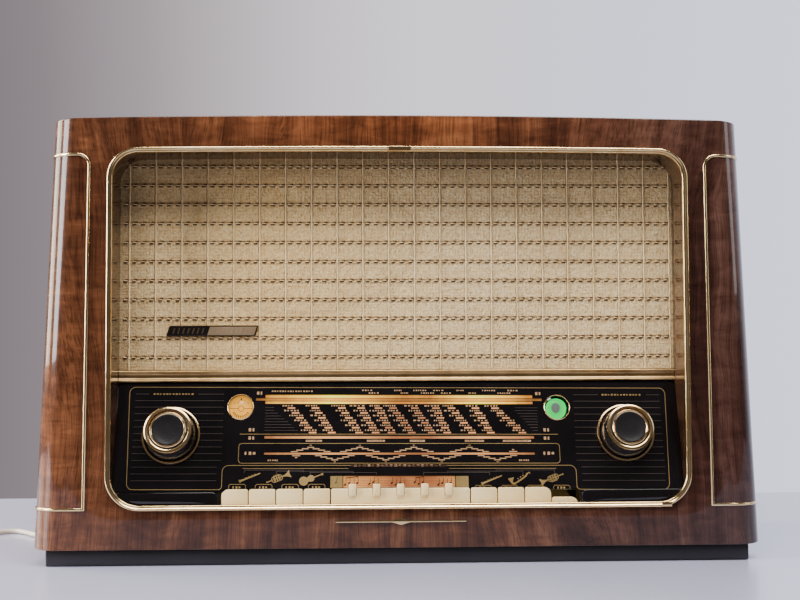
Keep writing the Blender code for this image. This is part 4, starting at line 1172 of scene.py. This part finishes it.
def instrument(ink, x, s, kind):
    """Simple slanted signs: a pipe, a fiddle, a curved horn, and horns with the bell up or down."""
    turn = Matrix.Rotation(math.radians(21 if kind else 22), 2)
    flip = -1 if kind == 4 else 1

    def place(points):
        return [tuple(Vector((x, s)) + turn @ Vector((flip * u, flip * v))) for u, v in points]

    if kind == 0:
        ink.patch(place([(-0.0098, -0.0008), (0.0095, -0.0004), (0.0095, 0.0005), (-0.0098, 0.0009)]))
        ink.patch(place([(-0.0104, -0.0014), (-0.0092, -0.0012), (-0.0092, 0.0013), (-0.0104, 0.0015)]))
        for hole in range(4):
            ink.patch(place([(-0.0040 + 0.0028 * hole, 0.0008), (-0.0032 + 0.0028 * hole, 0.0008),
                             (-0.0032 + 0.0028 * hole, 0.0014), (-0.0040 + 0.0028 * hole, 0.0014)]))
    elif kind in (1, 4):
        ink.patch(place([(-0.0110, -0.0004), (0.0050, -0.0004), (0.0050, 0.0004), (-0.0110, 0.0004)]))
        bell = [(0.0030, -0.0005), (0.0062, -0.0010), (0.0084, -0.0020), (0.0098, -0.0034),
                (0.0106, -0.0033),
                (0.0100, 0.0), (0.0106, 0.0033), (0.0098, 0.0034), (0.0084, 0.0020), (0.0062, 0.0010),
                (0.0030, 0.0005)]
        ink.patch(place(bell))
        ink.line(place(rounded((-0.0068, 0.0030), (-0.0026, 0.0024), 0.0022, 5)), 0.0006, True)
        ink.line(place(rounded((-0.0048, 0.0012), (-0.0026, 0.0030), 0.0010, 3)), 0.0004, True)
        for valve in (-0.0040, -0.0020, 0.0):
            ink.patch(place([(valve - 0.0005, -0.0030), (valve + 0.0005, -0.0030), (valve + 0.0005, 0.0034),
                             (valve - 0.0005, 0.0034)]))
        ink.patch(place([(-0.0118, -0.0009), (-0.0108, -0.0005), (-0.0108, 0.0005), (-0.0118, 0.0009)]))
    elif kind == 2:
        body = (arc((-0.0066, 0), 0.0041, 50, 310, 16) + [(-0.0030, -0.0019)]
                + arc((0.0004, 0), 0.0030, 235, 485, 14) + [(-0.0030, 0.0019)])
        ink.patch(place(body))
        ink.patch(place([(0.0028, -0.0006), (0.0105, -0.0004), (0.0105, 0.0004), (0.0028, 0.0006)]))
        ink.patch(place([(0.0100, -0.0012), (0.0118, -0.0009), (0.0120, 0.0007), (0.0100, 0.0010)]))
    else:
        tube = [(-0.0052, -0.0014), (0.0, -0.0004), (0.0055, 0.0012), (0.0078, 0.0030)]
        ink.line(place(tube), 0.0014)
        ink.line(place([(0.0078, 0.0030), (0.0094, 0.0032), (0.0100, 0.0016)]), 0.0007)
        ink.line(place(arc((-0.0062, 0.0008), 0.0024, -70, -190, 8)), 0.0018)
        ink.patch(place([(-0.0098, 0.0010), (-0.0074, 0.0006), (-0.0050, 0.0040), (-0.0104, 0.0046)]))
        for key in range(3):
            ink.patch(place(arc((-0.0020 + 0.0026 * key, 0.0014 + 0.0006 * key), 0.0006, 0, 315, 7)))


# ---------------------------------------------------------------- knobs
def make_knobs(gold, black, satin, brown, steel):
    def ribbed(index, angle):
        return 1.0 - 0.010 * (0.5 - 0.5 * math.cos(56 * angle)) if index in (4, 5, 6) else 1.0

    for side, x in (("left", -KNOB_X), ("right", KNOB_X)):
        axis = DIAL_MATRIX @ Matrix.Translation((x, KNOB_S, 0))
        cone = [(0.0040, -0.0180), (0.0068, -0.0180), (0.0068, 0.0010), (0.0236, 0.0010), (0.0232, 0.0040),
                (0.0214, 0.0120), (0.0199, 0.0186), (0.0194, 0.0192), (0.0040, 0.0194)]
        piece(f"{side}_ring_skirt", turned(cone, 336, True, ribbed), black, f"{side}_ring",
              (f"{side}_ring",), axis)
        rim = [(0.0240, 0.0010), (0.0254, 0.0008), (0.0261, 0.0013), (0.0262, 0.0036), (0.0259, 0.0042),
               (0.0252, 0.0045), (0.0244, 0.0044), (0.0240, 0.0039)]
        piece(f"{side}_ring_rim", turned(rim, 96, True), gold, f"{side}_ring", matrix=axis)

        hub = [(0.0165, 0.0202), (0.0200, 0.0202), (0.0207, 0.0206), (0.0210, 0.0213), (0.0210, 0.0230),
               (0.0207, 0.0238), (0.0200, 0.0242), (0.0184, 0.0243), (0.0177, 0.0240), (0.0174, 0.0234),
               (0.0173, 0.0226)]
        piece(f"{side}_knob_hub", turned(hub, 96, True), gold, f"{side}_knob",
              (f"{side}_knob",), axis)
        groove = [(0, 0.0200), (0.0204, 0.0200), (0.0204, 0.0204), (0.0173, 0.0226), (0.0160, 0.0228),
                  (0, 0.0228)]
        piece(f"{side}_knob_groove", turned(groove, 72), brown, f"{side}_knob",
              matrix=axis)
        ring = [(0.0142, 0.0229), (0.0160, 0.0229), (0.0159, 0.0243), (0.0155, 0.0247), (0.0147, 0.0247),
                (0.0142, 0.0243)]
        piece(f"{side}_knob_ring", turned(ring, 96, True), gold, f"{side}_knob",
              matrix=axis)
        cap = [(0, 0.0210), (0.0141, 0.0229), (0.0141, 0.0240), (0.0138, 0.0241), (0.0128, 0.0240),
               (0.0110, 0.0237),
               (0.0080, 0.0234), (0.0040, 0.02325), (0, 0.0232)]
        piece(f"{side}_knob_cap", turned(cap, 96), satin, f"{side}_knob", matrix=axis,
              smooth=60)
        shaft = [(0, -0.040), (0.0028, -0.040), (0.0030, -0.0395), (0.0030, 0.0205), (0, 0.0205)]
        piece(f"{side}_knob_shaft", turned(shaft, 24), steel, f"{side}_knob", matrix=axis)


# ---------------------------------------------------------------- keys
def make_keys(ivory):
    low_key, high_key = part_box("left_key_2")
    width, top = high_key.x - low_key.x, high_key.z
    pivot = Vector((0, depth(0.080), 0.056))
    for side in ("left", "right"):
        for number in range(1, 5):
            name = f"{side}_key_{number}"
            low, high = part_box(name)
            middle = (low.x + high.x) / 2
            outer = (side == "left" and number == 1) or (side == "right" and number == 4)
            second = side == "right" and number == 3
            soft = 0.0062 if outer or second else 0.0022
            radii = (0.0005, 0.0014, soft if side == "left" else 0.0014, 0.0005)
            if side == "right":
                radii = (0.0005, soft, 0.0014, 0.0005)
            head = prism(rounded((-width / 2, width / 2), (0.0485, top), radii, 7), depth(0.0042),
                         depth(0.0069))
            soften(head, 0.0011, 3, 40, lambda edge: all(vert.co.y < depth(0.0043) for vert in edge.verts))
            for vert in head.verts:
                if vert.co.y < depth(0.0055):
                    vert.co.y -= 0.0005 * (1 - (2 * vert.co.x / width) ** 2)
            arm = [(depth(0.0070), 0.0485), (depth(0.0070), 0.0600), (depth(0.083), 0.060),
                   (depth(0.083), 0.052)]
            merge(head, soften(prism(arm, -width / 2 + 0.001, width / 2 - 0.001, "yz"), 0.0006, 2))
            place = Matrix.Translation((middle, 0, 0))
            if name == "right_key_4":
                pressed = Matrix.Rotation(KEY_TURN, 4, "X")
                place = place @ Matrix.Translation(pivot) @ pressed @ Matrix.Translation(-pivot)
            piece(f"{name}_cap", head, ivory, name, (name,), place, smooth=50)

    low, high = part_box("register_block")
    half = high.x
    front = prism(rounded((-half, half), (0.0485, top), (0.0005, 0.0016, 0.0016, 0.0005), 5), depth(0.0042),
                  depth(0.0069))
    soften(front, 0.0011, 3, 40, lambda edge: all(vert.co.y < depth(0.0043) for vert in edge.verts))
    merge(front, box((-half, half), (depth(0.0070), depth(0.026)), (0.0378, 0.0600)))
    block = piece("register_front", front, ivory, nodes=("register_block",), smooth=50)
    slots = bmesh.new()
    for number in range(5):
        x = 0.0213 * (number - 2)
        merge(slots, box((x - 0.0037, x + 0.0037), (depth(0.001), depth(0.0085)), (0.0602, 0.075)))
    cut(block, slots)
    for number in range(1, 6):
        name = f"register_lever_{number}"
        low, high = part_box(name)
        paddle = soften(prism(rounded((low.x, high.x), (low.z, high.z), 0.0012, 4), depth(0.0020),
                              depth(0.0037)), 0.0005, 2, 40)
        bridge = box((low.x + 0.0004, high.x - 0.0004), (depth(0.0034), depth(0.0066)),
                     (0.0656, high.z - 0.0004))
        merge(paddle, soften(bridge, 0.0004, 2))
        piece(f"{name}_cap", paddle, ivory, name, (name,), smooth=50)


def make_sill(black):
    """The glossy moulding beside the keys: it rises to the scale and has a rounded inner end."""
    for side, name in ((-1, "left_sill"), (1, "right_sill")):
        outline = rounded((0.1612, 0.2540), (0.0530, 0.0640), (0.0005, 0.0005, 0.0050, 0.0005), 6)
        sill = prism([(side * x, z) for x, z in outline], depth(0.0030), depth(0.0068))
        soften(sill, 0.0012, 3, 40)
        piece(name, sill, black)


# ---------------------------------------------------------------- rear
def make_rear(steel, brass):
    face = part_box("back_cover")[1].y
    spots = [(x, z) for x in (-0.285, -0.095, 0.095, 0.285) for z in (0.040, 0.365)]
    for index, (x, z) in enumerate(spots, 1):
        reach = half_width(z) - SIDE_WALL - 0.010
        head = turned([(0, 0), (0.0036, 0), (0.0036, 0.0008), (0.0030, 0.0016), (0.0018, 0.0021),
                       (0, 0.0022)], 28)
        spin(head, math.radians(-90), "X")
        shift(head, (max(-reach, min(reach, x)), face + 0.0001, z))
        screw = piece(f"cover_screw_{index}", head, steel)
        groove = box((-0.0040, 0.0040), (face + 0.0014, face + 0.004), (-0.00035, 0.00035))
        spin(groove, 0.5 + index, "Y")
        shift(groove, (max(-reach, min(reach, x)), 0, z))
        cut(screw, groove)

    panel_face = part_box("socket_panel")[1].y
    for column in range(4):
        for row in (0, 1):
            ring = turned([(0.0022, -0.001), (0.0022, 0.0006), (0.0026, 0.0009), (0.0036, 0.0007),
                           (0.0038, 0.0), (0.0038, -0.001)], 28, True)
            spin(ring, math.radians(-90), "X")
            shift(ring, (0.108 + 0.0335 * column, panel_face, 0.058 + 0.020 * row))
            piece(f"socket_ring_{column + 1}_{row + 1}", ring, brass if row else steel)


# ---------------------------------------------------------------- mains lead
def smooth_line(route, steps):
    points = [Vector(point) for point in route]
    padded = [points[0] * 2 - points[1]] + points + [points[-1] * 2 - points[-2]]
    line = []
    for a, b, c, d in zip(padded, padded[1:], padded[2:], padded[3:]):
        for step in range(steps):
            t = step / steps
            line.append(0.5 * (2 * b + (c - a) * t + (2 * a - 5 * b + 4 * c - d) * t ** 2
                               + (3 * b - a - 3 * c + d) * t ** 3))
    return line + [points[-1]]


def coil_line(rest):
    """The turns of the coil: three beside each other, then two and one above, and a last one outside."""
    step = 2 * CORD_R
    inner, outer = COIL_R - step, COIL_R + step
    # (angle in degrees, radius, height): what the lead does between these is a straight change
    stages = [(0, outer, 0), (300, outer, 0), (360, COIL_R, 0), (660, COIL_R, 0), (720, inner, 0),
              (1020, inner, 0),
              (1080, inner, 1), (1380, inner, 1), (1440, COIL_R, 1), (1680, COIL_R, 1), (1740, COIL_R, 2),
              (1980, COIL_R, 2), (2040, outer, 2), (2100, outer, 1), (2340, outer, 1)]
    line = []
    for angle in range(0, 2341, 12):
        for (a0, r0, h0), (a1, r1, h1) in zip(stages, stages[1:]):
            if a0 <= angle <= a1:
                t = (angle - a0) / (a1 - a0)
                t = t * t * (3 - 2 * t)
                radius, height = r0 + (r1 - r0) * t, rest + step * (h0 + (h1 - h0) * t)
        turn = math.radians(-angle)
        line.append(Vector((COIL_CENTRE[0] + radius * math.cos(turn),
                            COIL_CENTRE[1] + radius * math.sin(turn), height)))
    return line


def make_mains_lead(vinyl, rubber, pin_metal):
    """A cream lead: out of the back, down to the table, past the left side and into its coil."""
    relief_low, relief_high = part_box("strain_relief")
    exit_x, exit_z = (relief_low.x + relief_high.x) / 2, (relief_low.z + relief_high.z) / 2
    start, rest = 0.3006, 0.0026
    route = [(exit_x, start, exit_z), (-0.2352, start + 0.012, 0.0452), (-0.2370, 0.333, 0.0330),
             (-0.2410, 0.347, 0.0150), (-0.2500, 0.362, 0.0040), (-0.2680, 0.374, rest),
             (-0.2920, 0.374, rest),
             (-0.3140, 0.360, rest), (-0.3280, 0.335, rest), (-0.3345, 0.300, rest), (-0.3355, 0.255, rest),
             (-0.3355, 0.215, rest), (-0.3405, 0.200, rest), (-0.3540, 0.193, rest), (-0.3690, 0.199, rest),
             (-0.3810, 0.215, rest), (-0.3940, 0.227, rest), (-0.4080, 0.223, rest), (-0.4170, 0.208, rest),
             (-0.4205, 0.1935, rest), (-0.4215, 0.1835, rest)]
    line = smooth_line(route, 6) + coil_line(rest)
    plug_low, plug_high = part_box("plug")
    tail_x = (plug_low.x + plug_high.x) / 2
    tail_y = plug_low.y - FRONT
    line += [Vector((tail_x, COIL_CENTRE[1] + (tail_y - COIL_CENTRE[1]) * t,
                     rest + 2 * CORD_R + 0.0004 * t))
             for t in (0.35, 0.7, 1.0)]
    curve = bpy.data.curves.new("mains_lead", "CURVE")
    curve.dimensions = "3D"
    curve.bevel_depth = CORD_R
    curve.bevel_resolution = 4
    curve.use_fill_caps = True
    spline = curve.splines.new("POLY")
    spline.points.add(len(line) - 1)
    for point, place in zip(spline.points, line):
        point.co = (place.x, depth(place.y), place.z, 1.0)
    curve.materials.append(vinyl)
    lead = bpy.data.objects.new("mains_lead", curve)
    bpy.context.scene.collection.objects.link(lead)
    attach(lead, "cabinet")
    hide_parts("cord_lead", "cord_coil")

    relief = [(0, 0), (0.0085, 0), (0.0085, 0.0022), (0.0080, 0.0030), (0.0062, 0.0040)]
    for ring in range(5):
        at, size = 0.0055 + 0.0045 * ring, 0.0060 - 0.00052 * ring
        relief += [(size, at), (size, at + 0.0026), (size - 0.0009, at + 0.0032),
                   (size - 0.0009, at + 0.0042)]
    relief += [(0.0034, 0.0285), (0.0032, 0.0290), (0, 0.0290)]
    gland = piece("cable_gland", turned(relief, 40), rubber, nodes=("strain_relief",),
                  matrix=Matrix.Translation((exit_x, relief_low.y,
                                             exit_z)) @ Matrix.Rotation(math.radians(-90), 4, "X"))

    body = [(-0.0036, 0), (0.0036, 0), (0.0044, 0.006), (0.0062, 0.012), (0.0120, 0.017), (0.0165, 0.022),
            (0.0175, 0.030), (0.0172, 0.040), (-0.0172, 0.040), (-0.0175, 0.030), (-0.0165, 0.022),
            (-0.0120, 0.017),
            (-0.0062, 0.012), (-0.0044, 0.006)]
    at_plug = Matrix.Translation((tail_x, plug_low.y, 0))
    shell = soften(prism(body, 0.0003, 0.0153, "xy"), 0.0026, 4, 50)
    plug = piece("mains_plug_body", shell, vinyl, nodes=("plug",), matrix=at_plug, smooth=50)
    for side, name in ((-1, "left"), (1, "right")):
        pin = turned([(0, 0.0395), (0.0023, 0.0395), (0.0023, 0.0565), (0.0018, 0.0583), (0.0009, 0.0589),
                      (0, 0.0590)], 24)
        turn = Matrix.Translation((side * 0.0095, 0, 0.0078)) @ Matrix.Rotation(math.radians(-90), 4, "X")
        piece(f"plug_pin_{name}", pin, pin_metal, matrix=at_plug @ turn)
    length = sum((b - a).length for a, b in zip(line, line[1:]))
    return length


# ---------------------------------------------------------------- everything
def main():
    make_camera()
    make_lights()
    make_world()
    veneer = walnut()
    lining = dark_wood()
    lacquer = plastic("black_lacquer", (0.005, 0.0038, 0.0045), (0.010, 0.0075, 0.0085), (0.30, 0.42), 300,
                      0.15)
    gold = metal("pale_gold", (0.74, 0.50, 0.22), (0.92, 0.70, 0.38), (0.12, 0.24))
    brass = metal("polished_brass", (0.74, 0.52, 0.24), (0.90, 0.70, 0.38), (0.14, 0.26))
    bronze = metal("bronze_lacquer", (0.36, 0.225, 0.090), (0.54, 0.36, 0.165), (0.24, 0.40), (4, 900, 900))
    black = plastic("black_gloss", (0.006, 0.0045, 0.005), (0.012, 0.009, 0.010), (0.14, 0.22), 500, 0.5)
    satin = plastic("black_satin", (0.006, 0.005, 0.0055), (0.012, 0.010, 0.011), (0.24, 0.32), 900, 0.1)
    pale = plastic("badge_paint", (0.20, 0.135, 0.075), (0.30, 0.21, 0.125), (0.3, 0.4), 700, 0.3)
    brown = plastic("dark_groove", (0.016, 0.008, 0.004), (0.035, 0.018, 0.009), (0.3, 0.4), 500, 0.3)
    # The ivory keys carry a faint painted orange glow as emission, though they are not lamps.
    ivory = plastic("ivory_plastic", (0.98, 0.72, 0.33), (1.0, 0.80, 0.42), (0.22, 0.34), 500, 0.5,
                    ((1.0, 0.60, 0.17), 0.04))
    vinyl = plastic("cream_vinyl", (0.74, 0.66, 0.50), (0.82, 0.75, 0.60), (0.35, 0.5), 600, 0.2)
    rubber = plastic("brown_rubber", (0.018, 0.014, 0.012), (0.03, 0.025, 0.02), (0.5, 0.7), 600, 0.0)
    steel = metal("plated_steel", (0.42, 0.42, 0.40), (0.60, 0.60, 0.57), (0.25, 0.45))
    iron = plastic("varnished_iron", (0.02, 0.019, 0.018), (0.05, 0.045, 0.04), (0.4, 0.6), 300, 0.1)
    board = fibre_board()
    fabric = grille_fabric()
    dark_thread = plastic("dark_stitch", (0.060, 0.026, 0.009), (0.105, 0.050, 0.018), (0.7, 0.9), 900, 0.0)
    brown_thread = plastic("brown_thread", (0.26, 0.14, 0.052), (0.36, 0.21, 0.085), (0.7, 0.9), 900, 0.0)
    pale_thread = plastic("pale_thread", (0.80, 0.58, 0.28), (0.95, 0.76, 0.44), (0.6, 0.8), 900, 0.0)
    glass_black = plastic("black_glass", (0.0030, 0.0022, 0.0026), (0.0052, 0.0040, 0.0046), (0.04, 0.08),
                          200, 0.35)
    glass_edge = clear_glass("glass_edge", (0.55, 0.75, 0.68))
    valve_glass = clear_glass("valve_glass", (0.80, 0.84, 0.82))
    amber = lit("lit_amber", (0.42, 0.15, 0.020), (1.0, 0.55, 0.050), 1.5, 0.6)
    dull = lit("lit_dull", (0.24, 0.10, 0.022), (0.72, 0.30, 0.045), 1.0, 0.5)
    dusk = lit("lit_dusk", (0.34, 0.125, 0.046), (0.72, 0.32, 0.115), 1.15, 0.3)
    faint = lit("lit_faint", (0.060, 0.018, 0.006), (0.24, 0.085, 0.018), 1.0, 0.4)
    staff = lit("lit_staff", (0.34, 0.115, 0.040), (0.66, 0.28, 0.085), 0.90, 0.2)
    amber_ink = lit("lit_amber_print", (0.42, 0.15, 0.060), (0.78, 0.34, 0.13), 0.75, 0.2)
    card = lit("lit_card", (0.94, 0.42, 0.045), (1.0, 0.50, 0.070), 1.1)
    gold_ink = plastic("gold_print", (0.21, 0.138, 0.050), (0.29, 0.195, 0.075), (0.15, 0.25), 500, 0.5)
    grey_ink = plastic("grey_print", (0.055, 0.042, 0.036), (0.078, 0.060, 0.052), (0.15, 0.25), 500, 0.5)
    cream_ink = plastic("cream_print", (0.36, 0.215, 0.105), (0.46, 0.29, 0.155), (0.15, 0.25), 500, 0.5)
    dark_ink = plastic("dark_print", (0.020, 0.008, 0.006), (0.035, 0.014, 0.010), (0.15, 0.25), 500, 0.5)

    make_mains_lead(vinyl, rubber, brass)
    make_cabinet(veneer, lacquer)
    make_trim(gold)
    make_lining(lining)
    make_side_strips(brass)
    make_grille(fabric, dark_thread, brown_thread, pale_thread)
    make_divider(bronze)
    make_badges(black, gold, brass, pale)
    make_scale_sheet(glass_black, glass_edge)
    make_scale_lights(amber, dull, dusk, faint, staff, card, dark_ink)
    make_eye(eye_face(), valve_glass, gold)
    make_scale_print(gold_ink, grey_ink, amber_ink, cream_ink, dark_ink)
    make_knobs(gold, black, satin, brown, steel)
    make_keys(ivory)
    make_sill(glass_black)
    make_rear(steel, brass)

    raw = bare_wood("raw_board", (0.20, 0.12, 0.06), (0.42, 0.29, 0.17))
    carried = {"bottom_board": raw, "speaker_baffle": board, "back_cover": board, "socket_panel": lacquer,
               "key_frame": black, "dial_plate": steel, "pointer": dark_ink, "pointer_rail": steel,
               "chassis": steel,
               "flywheel": brass, "capacitor_frame": steel, "capacitor_rotor": brass,
               "ferrite_antenna": iron,
               "mains_transformer": iron, "output_transformer": iron, "oval_speaker": iron,
               "treble_speaker": iron,
               "filter_can": steel, "valve_1": valve_glass, "valve_2": valve_glass, "valve_3": valve_glass,
               "valve_4": valve_glass}
    for node, material in carried.items():
        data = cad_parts[node].data
        data.materials.clear()
        data.materials.append(material)

    ground = soften(prism(rounded(FLOOR_X, FLOOR_Y, 0.03), -FLOOR_THICK, -0.0001, "xy"), 0.003)
    floor = finish_mesh("studio_floor", ground, floor_finish(), 0)


main()
